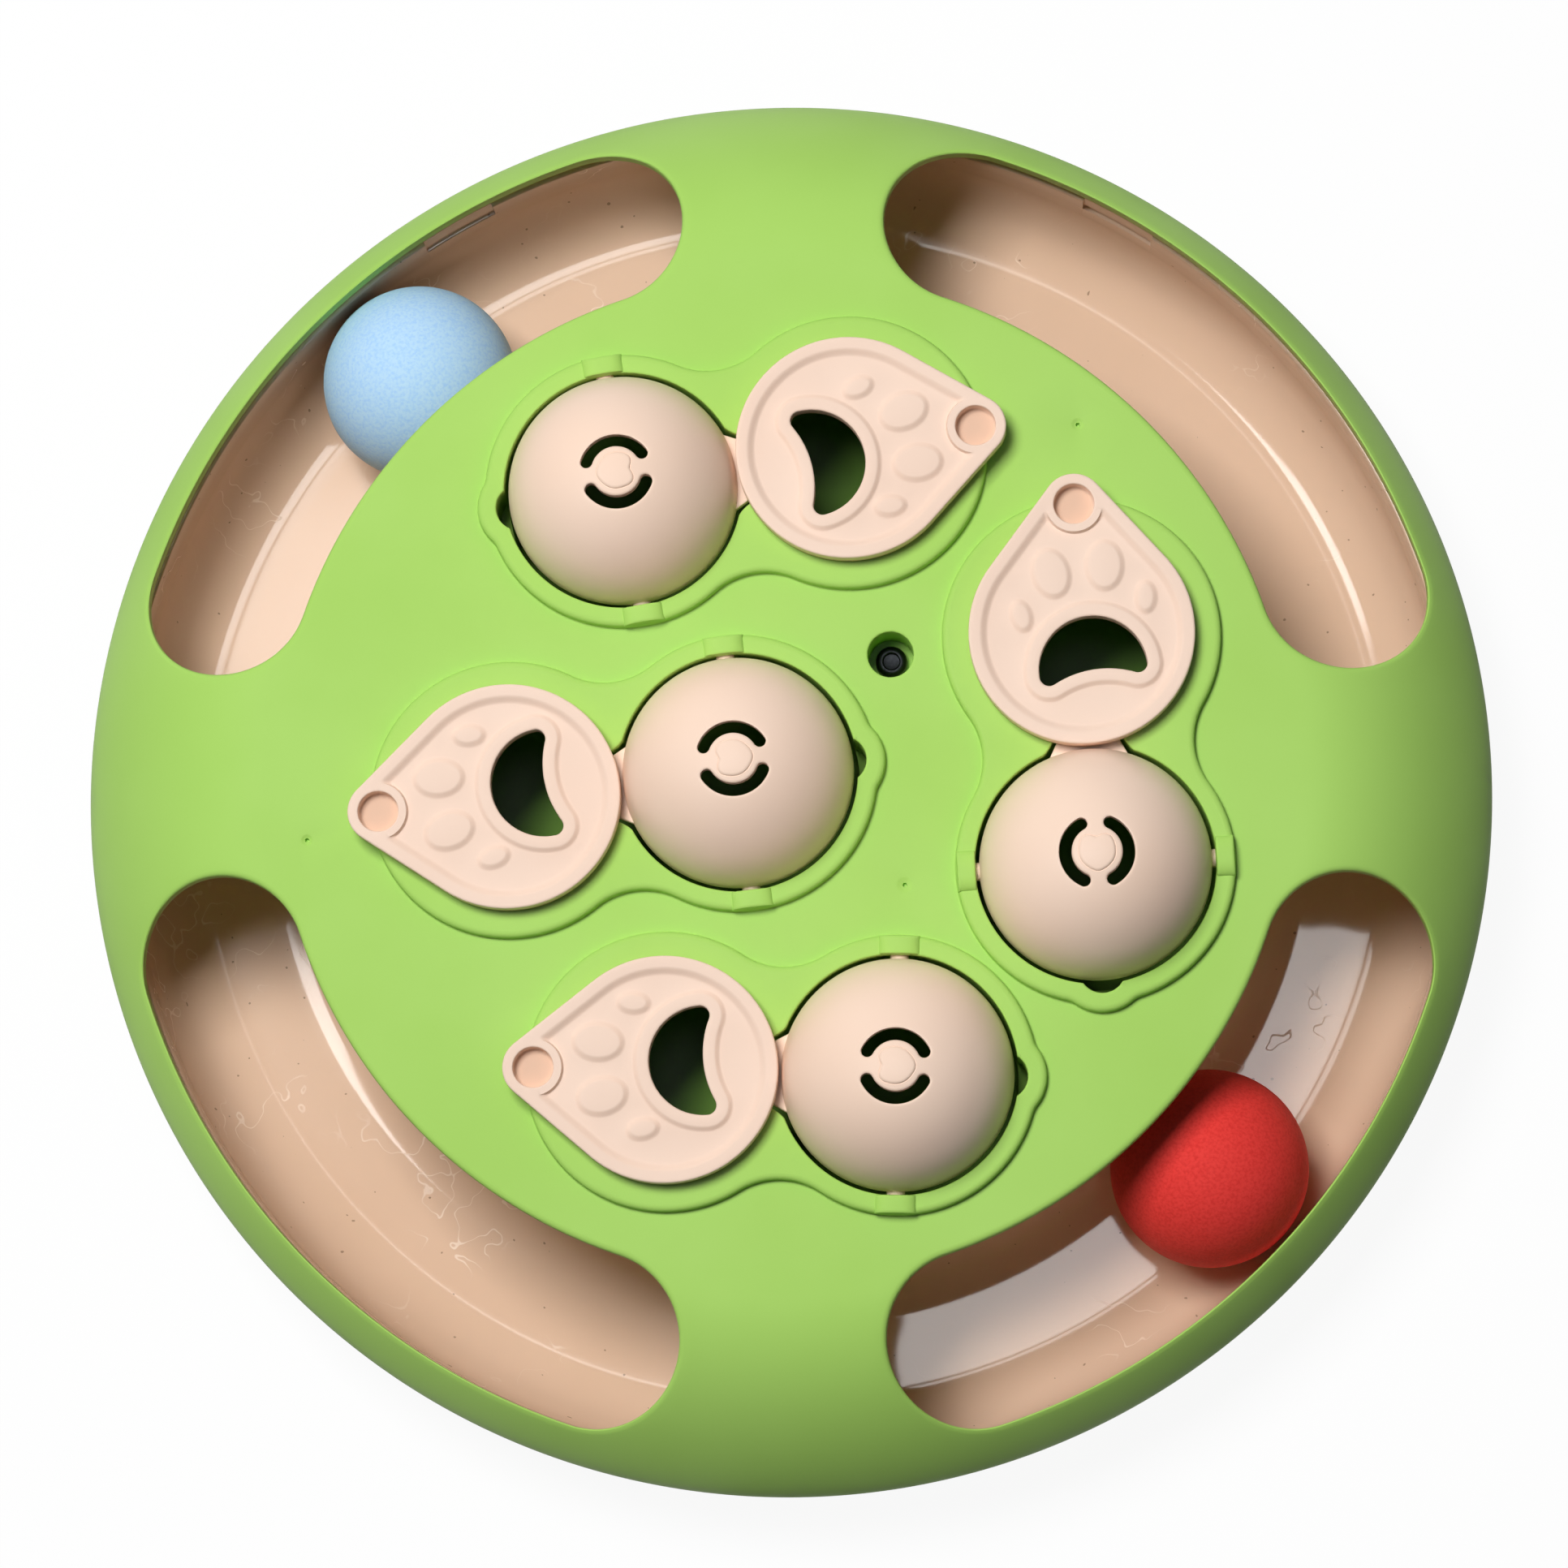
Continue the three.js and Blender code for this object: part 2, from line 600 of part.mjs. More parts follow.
function deckScrew() {
  const [x, y] = screwPlace();
  const head = SCREW_SEAT_Z + SEAT_GAP;
  const top = head + SCREW_HEAD_H;
  const shank = disc(SCREW_SHANK_R, SCREW_SEAT_Z - SCREW_SHANK_L, head + SCREW_HEAD_H / 2, x, y);
  const socket = disc(SCREW_SOCKET_R, head + SCREW_HEAD_H / 2, top + CUT_MARGIN, x, y);
  return cut(join([disc(SCREW_HEAD_R, head, top, x, y), shank]), [socket]);
}

// A curved slot that hugs one pivot side of the dome's top.
function smellSlot(side) {
  const middle = side * (Math.PI / 2);
  const half = radians(SLOT_HALF_DEG);
  const cap = SLOT_STROKE / 2;
  const from = middle - half;
  const to = middle + half;
  const outline = [
    ...arc(0, 0, SLOT_R + cap, from, to).slice(1),
    ...arc(SLOT_R * Math.cos(to), SLOT_R * Math.sin(to), cap, to, to + Math.PI).slice(1),
    ...arc(0, 0, SLOT_R - cap, to, from).slice(1),
    ...arc(SLOT_R * Math.cos(from), SLOT_R * Math.sin(from), cap, from - Math.PI, from).slice(1),
  ];
  return prism(new THREE.Shape(outline), PIVOT_Z + DOME_R / 2, PIVOT_Z + DOME_R + CUT_MARGIN);
}

// A small raised round mark with a hollow between two lobes on the lid's side.
function domeMark() {
  const away = MARK_R - MARK_LOBE_R;
  const x = away * Math.cos(radians(MARK_LOBE_DEG));
  const y = away * Math.sin(radians(MARK_LOBE_DEG));
  const hollowX = x + Math.sqrt((MARK_LOBE_R + MARK_HOLLOW_R) ** 2 - y ** 2);
  const shape = chain([
    { x, y, r: MARK_LOBE_R },
    { x: 0, y: 0, r: MARK_R },
    { x, y: -y, r: MARK_LOBE_R },
    { x: hollowX, y: 0, r: MARK_HOLLOW_R, hollow: true },
  ]);
  const low = PIVOT_Z + DOME_R - DOME_WALL / 2;
  return prism(shape, low, PIVOT_Z + DOME_R + MARK_H);
}

function flipDome() {
  const pinFrom = DOME_R - DOME_WALL;
  const pinTo = DOME_R + PIN_L;
  const body = join([
    turned([[0, PIVOT_Z], ...corner(0, PIVOT_Z, DOME_R, 0, 90)]),
    prism(tabShape(0), PIVOT_Z, PIVOT_Z + TAB_T),
    crossRod(PIN_R, pinFrom, pinTo, PIVOT_Z),
    crossRod(PIN_R, -pinTo, -pinFrom, PIVOT_Z),
    domeMark(),
  ]);
  const hollow = turned(corner(0, PIVOT_Z, DOME_R - DOME_WALL, -90, 90));
  return cut(body, [hollow, smellSlot(1), smellSlot(-1)]);
}

// The lid's drop outline: a large round, a small round at the tip, and the straight sides that touch both.
function dropShape(inset) {
  const lean = Math.acos((LID_R - LID_TIP_R) / LID_REACH);
  return new THREE.Shape([
    ...arc(LID_PITCH, 0, LID_R - inset, lean, 2 * Math.PI - lean),
    ...arc(TIP_PITCH, 0, LID_TIP_R - inset, -lean, lean),
  ]);
}

// Paw pad outline: a round top, two lobes inside it and a hollow between the lobes.
function padShape(grow) {
  const r = PAD_W / 2;
  const top = { x: 0, y: PAD_TOP - r, r: r + grow };
  const lobeX = r - PAD_LOBE_R;
  const sag = (lobeX ** 2 - (PAD_LOBE_R + PAD_RISE) ** 2) / (2 * (PAD_LOBE_R + PAD_RISE));
  const hollow = { x: 0, y: top.y - sag, r: sag + PAD_RISE - grow, hollow: true };
  const lobe = (side) => ({ x: side * lobeX, y: top.y, r: PAD_LOBE_R + grow });
  return chain([lobe(1), top, lobe(-1), hollow]);
}

// The motif is drawn with its toes towards +Y, then laid on the lid with them towards the tip.
function onPaw(geometry) {
  const size = LID_R / PAW_LID_R;
  const turn = radians(PAW_TURN_DEG - 90);
  return geometry.scale(size, size, 1).rotateZ(turn).translate(LID_PITCH, PAW_SHIFT * size, 0);
}

function toe({ along, aside, length, width }, side) {
  const round = disc(1, LID_PLATE_Z - LID_SINK, LID_PLATE_Z + RELIEF_H).scale(width / 2, length / 2, 1);
  return onPaw(round.rotateZ(-side * radians(TOE_SPLAY_DEG)).translate(side * aside, along, 0));
}

function padPrism(grow, low, high) {
  return onPaw(prism(padShape(grow), low, high).translate(0, PAD_AT, 0));
}

function swingLid() {
  const border = dropShape(0);
  border.holes.push(dropShape(LID_BORDER));
  const body = join([
    prism(dropShape(0), LID_Z, LID_PLATE_Z),
    prism(border, LID_Z, LID_TOP_Z),
    disc(TIP_COLLAR_R, LID_Z, LID_TOP_Z, TIP_PITCH),
    padPrism(PAD_RIM, LID_Z, LID_PLATE_Z + RELIEF_H),
    toe(BIG_TOE, 1),
    toe(BIG_TOE, -1),
    toe(SMALL_TOE, 1),
    toe(SMALL_TOE, -1),
    disc(POST_R, POST_END_Z, LID_Z + CUT_MARGIN, TIP_PITCH),
  ]);
  const bore = LID_SCREW_R + PIN_PLAY;
  const boreTop = POST_END_Z + LID_SCREW_L;
  return cut(body, [
    padPrism(0, LID_Z - CUT_MARGIN, LID_TOP_Z + CUT_MARGIN),
    disc(TIP_CUP_R, LID_TOP_Z - TIP_CUP_DEPTH, LID_TOP_Z + CUT_MARGIN, TIP_PITCH),
    disc(bore, POST_END_Z - CUT_MARGIN, boreTop, TIP_PITCH),
  ]);
}

const WASHER_TOP_Z = POST_END_Z - SEAT_GAP;
const WASHER_Z = WASHER_TOP_Z - WASHER_T;

function lidWasher() {
  const ring = solid(disc(WASHER_R, WASHER_Z, WASHER_TOP_Z, TIP_PITCH));
  const hole = disc(LID_SCREW_R + PIN_PLAY, WASHER_Z - CUT_MARGIN, POST_END_Z, TIP_PITCH);
  return cut(ring, [hole]);
}

function lidScrew() {
  const headTop = WASHER_Z - SEAT_GAP;
  const shankTop = POST_END_Z + LID_SCREW_L - SEAT_GAP;
  return join([
    disc(LID_SCREW_HEAD_R, headTop - LID_SCREW_HEAD_H, headTop, TIP_PITCH),
    disc(LID_SCREW_R, headTop - LID_SCREW_HEAD_H / 2, shankTop, TIP_PITCH),
  ]);
}

function ball(name, deg, material) {
  const mesh = part(name, solid(turned(corner(0, 0, BALL_R, -90, 90))), material);
  mesh.position.set(TRACK_R * Math.cos(radians(deg)), TRACK_R * Math.sin(radians(deg)), BALL_Z);
  return mesh;
}

// A compartment's group has its origin under the dome's middle and +X towards the lid.
function compartmentGroup(compartment) {
  const group = new THREE.Group();
  group.position.set(...domePlace(compartment), 0);
  group.rotation.z = radians(compartment.lid_deg);
  group.updateMatrix();
  return group;
}

const feeder = new THREE.Group();
const groups = COMPARTMENTS.map(compartmentGroup);

feeder.add(part('top_cover', topCover(groups.map((group) => group.matrix)), GREEN_PLASTIC));
feeder.add(part('track_base', trackBase(), TAN_GLOSS));
feeder.add(part('deck_screw', deckScrew(), STEEL));

groups.forEach((group, i) => {
  group.add(part(`flip_dome_${i + 1}`, flipDome(), DOME_SATIN));
  group.add(part(`swing_lid_${i + 1}`, swingLid(), LID_MATTE));
  group.add(part(`lid_washer_${i + 1}`, lidWasher(), NYLON));
  group.add(part(`lid_screw_${i + 1}`, lidScrew(), STEEL));
  feeder.add(group);
});

feeder.add(ball('ball_blue', BALL_BLUE_DEG, BLUE_FOAM));
feeder.add(ball('ball_red', BALL_RED_DEG, RED_FOAM));

for (let i = 0; i < FOOT_COUNT; i += 1) {
  feeder.add(part(`foot_${i + 1}`, foot(i), RUBBER));
}

export default feeder;
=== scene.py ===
"""Looks of the rotating puzzle feeder: moulded cover, ball track, flip domes, swing lids and balls.

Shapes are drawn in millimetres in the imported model's own frame, and scaled to metres when a piece is done.
"""
import json
import math
from bisect import bisect_right

import bmesh
import bpy
from mathutils import Matrix, Vector


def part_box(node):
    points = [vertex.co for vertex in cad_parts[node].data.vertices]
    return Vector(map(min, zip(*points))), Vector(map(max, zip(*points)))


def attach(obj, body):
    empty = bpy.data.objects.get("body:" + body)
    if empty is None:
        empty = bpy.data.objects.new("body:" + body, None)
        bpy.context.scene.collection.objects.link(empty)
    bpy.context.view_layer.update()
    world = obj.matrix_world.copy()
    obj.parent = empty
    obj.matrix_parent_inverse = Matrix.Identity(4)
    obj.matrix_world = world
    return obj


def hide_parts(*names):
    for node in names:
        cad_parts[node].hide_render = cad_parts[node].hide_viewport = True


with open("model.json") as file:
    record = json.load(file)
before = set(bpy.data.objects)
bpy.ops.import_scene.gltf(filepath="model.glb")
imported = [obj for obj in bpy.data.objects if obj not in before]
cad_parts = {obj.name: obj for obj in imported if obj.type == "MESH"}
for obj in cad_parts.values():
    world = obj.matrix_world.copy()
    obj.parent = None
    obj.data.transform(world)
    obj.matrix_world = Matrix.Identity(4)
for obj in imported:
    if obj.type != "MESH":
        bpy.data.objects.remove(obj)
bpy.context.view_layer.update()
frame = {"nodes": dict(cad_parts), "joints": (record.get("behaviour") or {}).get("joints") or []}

MM = 0.001
QUARTER = math.pi / 2
FULL = 2 * math.pi
MERGE_WITHIN = 0.002
SLIVER = MERGE_WITHIN / 10
SHARP_DEG = 38

# How finely curves are drawn: steps along a curve, sides round an axis
ARC_STEP = 0.7
ARC_TURN_DEG = 6
HIDDEN_STEPS = 3
EDGE_STEPS = 4
FINE_STEPS = 6
INNER_STEPS = 4
SHOULDER_STEPS = 240
RIM_STEPS = 12
PLATFORM_STEPS = 5
FLARE_STEPS = 12
DIMPLE_SIDES = 32
BUMP_GRID = (28, 14)
SPHERE_STEPS = 180
DOME_STEPS = 26
DOME_INNER_STEPS = 14
PIN_SIDES = 28
RECESS_STEPS = {"round": 150, "corner": 14, "tip": 40, "slope": 9}
TOE_SIDES = 64
RELIEF_STEPS = 8
SNAP_STEPS = 8
SNAP_GAP_STEPS = 44
SKIN_STEPS = 12
TROUGH_STEPS = 28
TRACK_STEPS = 6
BALL_STEPS = 96
BALL_SIDES = 144
FOOT_SIDES = 64
SCREW_SIDES = 48
# Slots: steps along their length, in each part of a round end, and from border to edge
WINDOW_STEPS = (60, 22, 12)
SLOT_STEPS = (44, 12, 7)

# Cover: round deck, shoulder, rim, and four round-ended windows
COVER_R = 125.0
COVER_WALL = 2.2
DECK_Z = 49.0
DECK_WALL = 2.4
DECK_UNDER_Z = DECK_Z - DECK_WALL
DECK_FLAT_R = 91.0
WIDEST_Z = 23.0
SHOULDER_PULL = 20.0
RIM_PULL = 3.5
RIM_TUCK = 3.5
COVER_FOOT_Z = 3.0
FOOT_ROUND = 0.6
WINDOW_COUNT = 4
WINDOW_ZONE_R = 85.5
WINDOW_OUT_R = 118.7
WINDOW_IN_R = 88.6
SPOKE_HALF_DEG = 18.5
WINDOW_EDGE = 1.1
# Narrow strips beside an edge, before a flat area is filled
HEM = 0.4
FINE_HEM = 0.06

# Platforms and wells of the compartments, from the dome's middle with +X to the lid
PLATFORM_Z = 51.0
PLATFORM_EDGE = 1.1
PLATFORM_FOOT = 0.3
PLATFORM_BAND = 3.35
PLATFORM_NECK_R = 13.0
PIVOT_Z = 48.6
DOME_R = 20.152
DOME_WALL = 1.8
DOME_WELL_R = 20.85
LID_R = 19.613
LID_PITCH = 40.015
TIP_PITCH = 62.543
LID_TIP_R = 5.35
LID_LEDGE = 4.6
LID_WELL_R = 16.01
WELL_WALL = 1.8
WELL_FLOOR_Z = 22.1
WELL_FLOOR_R = 1.0
WELL_EDGE = 0.4
WALL_SLACK = 0.05
CLAW_W = 8.0
CLAW_DEPTH = 1.6
CLAW_DROP = 12.0
CLAW_WALL = 3.3
CLAW_BLEND_R = 4.0
BOSS_R = 4.4
BOSS_BLEND_R = 3.0
BOSS_Z = 44.6
POST_HOLE_R = 3.0
BUMP_W = 7.2
BUMP_TOP_Z = 52.15
BUMP_FOOT_Z = 50.5
BUMP_SET_IN = -0.15
BUMP_PAST = -0.2
BUMP_ROUND = 2.8
BUMP_END_ROUND = 16
# Gate dimples: X, Y and radius
DIMPLES = [(-82.8, -11.8, 1.1), (51.7, 60.8, 1.3), (21.2, -20.1, 1.6)]
DIMPLE_DEPTH = 0.3
GATE_R = 0.4
GATE_DEPTH = 1.1
GATE_EDGE = 0.1

# Dome details
DOME_EDGE = 0.5
CAP_SHARES = (0.6, 0.2)
SLOT_R = 5.4
SLOT_STROKE = 2.1
SLOT_HALF_DEG = 63
SLOT_EDGE = 0.45
SLOT_FIELD_IN = 3.85
SLOT_FIELD_OUT = 9.5
MARK_R = 3.12
MARK_DENT = 0.75
MARK_DENT_DEG = 22
MARK_LOBE = 0.28
MARK_LOBE_DEG = 44
MARK_H = 0.25
MARK_MOAT = 0.06
# The mark's side and top: scale of its outline, step out from there, and height
MARK_PROFILE = [
    (1, 0.2, 0),
    (1, 0.12, -MARK_MOAT),
    (1, 0.06, -MARK_MOAT),
    (1, 0, 0),
    (1, -0.06, MARK_H * 0.45),
    (1, -0.18, MARK_H * 0.78),
    (1, -0.36, MARK_H * 0.96),
    (1, -0.5, MARK_H),
    (0.5, 0, MARK_H),
    (0.15, 0, MARK_H),
]
PIN_R = 1.6
PIN_FROM = 18.8
PIN_TO = 22.35
PIN_EDGE = 0.4
TAB_FROM = 16.55
TAB_TO = 24.5
TAB_ROOT_W = 16.0
TAB_END_W = 8.8
TAB_T = 1.8
TAB_EDGE = 0.4
TAB_CORNER_R = 1.2
TAB_PLAY = 0.4
TAB_FLARE_Y = 7.9
TAB_FLARE_AT = (20.5, 6.3)

# Lid details
LID_Z = 51.3
LID_TOP_Z = 54.8
LID_SINK = 0.9
LID_PLATE_Z = LID_TOP_Z - LID_SINK
LID_ROUND = 0.5
LID_SOLE_EDGE = 0.3
LID_HEM = 0.15
LID_LAND = 1.85
LID_SLOPE = 1.6
TIP_LAND_R = 4.87
COLLAR_SLOPE = 0.35
LAND_CORNER_R = 0.4
TIP_CUP_R = 3.5
TIP_CUP_EDGE = 0.3
TIP_CUP_HEM = 0.1
TIP_CUP_FLOOR_R = 0.5
TIP_CUP_Z = 52.3
POST_R = 2.7
POST_EDGE = 0.4
POST_END_Z = 44.3
POST_BORE_R = 1.5
POST_BORE_L = 7.4
RELIEF_H = 0.7
PAW_TURN_DEG = 5.5
PAW_SHIFT = -1.0
PAD_AT = -3.7
PAD_W = 18.8
PAD_LOBE_R = 1.65
PAD_RISE = 0.05
PAD_TOP = 6.35
PAD_RING = 3.0
PAD_RING_TOP = 1.9
PAD_EDGE = 0.45
BIG_TOE = {"along": 11.1, "aside": 4.7, "length": 8.6, "width": 6.4}
SMALL_TOE = {"along": 4.5, "aside": 10.9, "length": 5.4, "width": 3.5}
TOE_SPLAY_DEG = 8
TOE_FOOT = 0.6
TOE_TOP = -0.75

# Base with the ball track
PLATE_Z = 1.2
FLOOR_Z = 3.4
FLANGE_TOP_Z = 2.7
FLANGE_R = COVER_R - RIM_TUCK
FLANGE_EDGE = 0.4
SOLE_INSET = 1.2
BASE_EDGE = 0.5
TROUGH_OUT_R = 118.8
TROUGH_IN_R = 81.9
TROUGH_WALL = 2.0
TROUGH_CORNER_R = 12.8
OUTER_WALL_TOP = 26.5
INNER_WALL_TOP = 44.8
INNER_WALL_EDGE = 0.6
INNER_FLOOR_R = 1.0
SNAP_COUNT = 6
SNAP_W = 14.0
SNAP_H = 5.5
SNAP_THINNED = 0.7
SNAP_LIP_EASE = 0.4
SNAP_FLOOR_R = 0.25
SNAP_SILL = 0.3
SNAP_END_DEG = 0.02
SNAP_ROW_DROP = 0.1

# Balls, feet and screw
BALL_R = 17.5
SEAM_H = 0.04
SEAM_SPREAD = 0.02
FOOT_R = 8.0
FOOT_H = 1.8
FOOT_EDGE = 0.5
FOOT_PLAY = 0.3
FOOT_POCKET_EDGE = 0.2
FOOT_POCKET_DEPTH = 0.9
FOOT_COUNT = 4
SCREW_WELL_R = 4.0
SCREW_SEAT_Z = 39.0
SCREW_BOSS_R = 5.6
SCREW_BOSS_Z = 36.6
SCREW_HOLE_R = 1.8
SCREW_HEAD_Z = 39.3
SCREW_HEAD_R = 2.8
SCREW_HEAD_H = 2.2
SCREW_HEAD_RIM = 0.6
SCREW_SOCKET_R = 1.4
SCREW_SOCKET_EDGE = 0.3
SCREW_SOCKET_CONE = 0.2
SCREW_SHANK_R = 1.5
SCREW_NECK_R = 1.4
SCREW_TIP_R = 0.9
SCREW_END_Z = 25.0
THREAD_TURNS = 12
THREAD_PITCH = 1.0
THREAD_DEPTH = 0.3
THREAD_CREST = (0.4, 0.6)
SCREW_PILLAR_R = 5.0
SCREW_PILLAR_TOP = 36.3
SCREW_PILLAR_EDGE = 0.5
SCREW_PILLAR_FOOT_R = 1.0
SCREW_BORE_EDGE = 0.3
SCREW_BORE_Z = 24.0


def ease(share):
    """A soft S from 0 to 1."""
    return share * share * (3 - 2 * share)


def mix(a, b, share):
    return a + (b - a) * share


def shares(count):
    """Even shares from just after 0 up to 1."""
    return [(i + 1) / count for i in range(count)]


def bend(start, corner, end, count=EDGE_STEPS):
    """Points of a quadratic curve after its start, for a rounded corner."""
    a, b, c = Vector(start), Vector(corner), Vector(end)
    return [a * (1 - t) ** 2 + b * 2 * t * (1 - t) + c * t * t for t in shares(count)]


def polar(radius, angle):
    return Vector((radius * math.cos(angle), radius * math.sin(angle)))


def round_row(angles, radius, height):
    return [(*polar(radius, angle), height) for angle in angles]


def stretch_at(marks, mark):
    """The end of the stretch of rising marks that a mark lies in, and its share of that stretch."""
    i = min(max(bisect_right(marks, mark), 1), len(marks) - 1)
    return i, (mark - marks[i - 1]) / (marks[i] - marks[i - 1])


class Line:
    """A fine line of (radius, height) points, read by its length or by its radius."""

    def __init__(self, points):
        self.points = points
        self.lengths = [0.0]
        for a, b in zip(points, points[1:]):
            self.lengths.append(self.lengths[-1] + math.dist(a, b))
        self.radii = [r for r, _ in points]

    def at(self, length):
        i, share = stretch_at(self.lengths, length)
        return [mix(a, b, share) for a, b in zip(self.points[i - 1], self.points[i])]

    def length_at(self, radius):
        i, share = stretch_at(self.radii, radius)
        return mix(self.lengths[i - 1], self.lengths[i], share)

    def spot(self, angle, length):
        """The place at an angle round Z and a length along the line."""
        radius, height = self.at(length)
        return Vector((*polar(radius, angle), height))

    def spots(self, places):
        return [self.spot(*place) for place in places]

    def row(self, angles, length):
        return [self.spot(angle, length) for angle in angles]


def ring(bm, places):
    """A closed loop of new vertices."""
    loop = [bm.verts.new(place) for place in places]
    for a, b in zip(loop, loop[1:] + loop[:1]):
        bm.edges.new((a, b))
    return loop


def loop_edges(bm, loop):
    return [bm.edges.get((a, b)) for a, b in zip(loop, loop[1:] + loop[:1])]


def grow(bm, loop, places):
    """Extrudes a loop and moves the new loop to its places."""
    made = bmesh.ops.extrude_edge_only(bm, edges=loop_edges(bm, loop))["geom"]
    fresh = {item for item in made if isinstance(item, bmesh.types.BMVert)}
    grown = []
    for vert, place in zip(loop, places):
        twin = next(edge.other_vert(vert) for edge in vert.link_edges if edge.other_vert(vert) in fresh)
        twin.co = place
        grown.append(twin)
    return grown


def encloses(outline, spot):
    """Whether a spot lies inside an outline, by counting the sides that it looks across."""
    inside = False
    for start, end in zip(outline, outline[1:] + outline[:1]):
        if (start.y > spot.y) != (end.y > spot.y):
            across = start.x + (end.x - start.x) * (spot.y - start.y) / (end.y - start.y)
            inside ^= spot.x < across
    return inside


def fill(bm, *loops):
    """Fills a flat area between an outer loop and the loops of its holes."""
    edges = [edge for loop in loops for edge in loop_edges(bm, loop)]
    how = {"use_beauty": True, "use_dissolve": False, "normal": (0, 0, 1)}
    made = bmesh.ops.triangle_fill(bm, edges=edges, **how)["geom"]
    holes = [[vert.co.xy.copy() for vert in loop] for loop in loops[1:]]
    covers = []
    for face in made:
        if isinstance(face, bmesh.types.BMFace):
            middle = face.calc_center_median().xy
            if any(encloses(hole, middle) for hole in holes):
                covers.append(face)
    bmesh.ops.delete(bm, geom=covers, context="FACES")


def arc(centre, radius, start, end, hollow=False, count=None, last=False):
    """(place, way out) pairs along an arc. A hollow arc's way out points at its own centre."""
    if count is None:
        sweep = abs(end - start)
        count = max(math.ceil(sweep * radius / ARC_STEP), math.ceil(sweep / math.radians(ARC_TURN_DEG)), 2)
    pairs = []
    for i in range(count + (1 if last else 0)):
        way = polar(1, mix(start, end, i / count))
        pairs.append((Vector(centre) + way * radius, -way if hollow else way))
    return pairs


def circle(centre, radius, count=None):
    return arc(centre, radius, 0, FULL, count=count)


def touch_point(one, two):
    """Where two touching circles meet. A hollow circle lies outside the outline."""
    a, b = Vector(one["at"]), Vector(two["at"])
    if one["hollow"] != two["hollow"]:
        return a.lerp(b, one["r"] / (one["r"] + two["r"]))
    if one["r"] < two["r"]:
        a, b = b, a
    return a + (b - a).normalized() * max(one["r"], two["r"])


def round_part(x, y, r, hollow=False):
    return {"at": (x, y), "r": r, "hollow": hollow}


def chain(circles):
    """A counter-clockwise outline that passes from circle to touching circle."""
    outline = []
    for i, part in enumerate(circles):
        middle = Vector(part["at"])
        start = touch_point(circles[i - 1], part) - middle
        end = touch_point(part, circles[(i + 1) % len(circles)]) - middle
        first = math.atan2(start.y, start.x)
        final = math.atan2(end.y, end.x)
        if part["hollow"] and final > first:
            final -= FULL
        if not part["hollow"] and final < first:
            final += FULL
        outline += arc(middle, part["r"], first, final, hollow=part["hollow"])
    return outline


def blend(one, two, r, side):
    """A hollow circle that touches two circles whose middles lie on the X axis."""
    gap = two["at"][0] - one["at"][0]
    reach_one = one["r"] + r
    reach_two = two["r"] + r
    along = (gap**2 + reach_one**2 - reach_two**2) / (2 * gap)
    return round_part(one["at"][0] + along, side * math.sqrt(reach_one**2 - along**2), r, True)


def lift(outline, offset, height):
    return [Vector((*(place + way * offset), height)) for place, way in outline]


def walk(bm, loop, outline, steps):
    """Grows a loop through (offset, height) steps that follow its outline."""
    for offset, height in steps:
        loop = grow(bm, loop, lift(outline, offset, height))
    return loop


def closed_form(bm, outline, steps):
    """A form that follows an outline through (offset, height) steps to a flat end. Gives its first loop."""
    first = ring(bm, lift(outline, *steps[0]))
    fill(bm, walk(bm, first, outline, steps[1:]))
    return first


def flat_to_steep(offset, height, rise, count=EDGE_STEPS):
    """(offset, height) steps of a rounded edge that starts level and ends upright, up or down."""
    return [(offset, height), *bend((offset, height), (0, height), (0, height + rise), count)]


def steep_to_flat(offset, height, rise, count=EDGE_STEPS):
    """(offset, height) steps of a rounded edge that starts upright, up or down, and ends level."""
    return bend((0, height - rise), (0, height), (offset, height), count)


def moved(outline, turn, shift):
    """An outline turned about the origin, then shifted."""
    spin = Matrix.Rotation(turn, 2)
    return [(spin @ place + Vector(shift), spin @ way) for place, way in outline]


def lathe(bm, profile, steps, place=Matrix()):
    """A profile of (radius, height) points, on the axis at both ends, spun about Z and then placed."""
    start = len(bm.verts)
    verts = [bm.verts.new((radius, 0, height)) for radius, height in profile]
    edges = [bm.edges.new(pair) for pair in zip(verts, verts[1:])]
    turn = {"cent": (0, 0, 0), "axis": (0, 0, 1), "angle": FULL, "steps": steps, "use_merge": True}
    bmesh.ops.spin(bm, geom=verts + edges, **turn)
    bmesh.ops.transform(bm, matrix=place, verts=list(bm.verts)[start:])


def between(line, first, second, share):
    """Places on a line's surface part of the way from one row of (angle, length) to another."""
    return [line.spot(mix(a[0], b[0], share), mix(a[1], b[1], share)) for a, b in zip(first, second)]


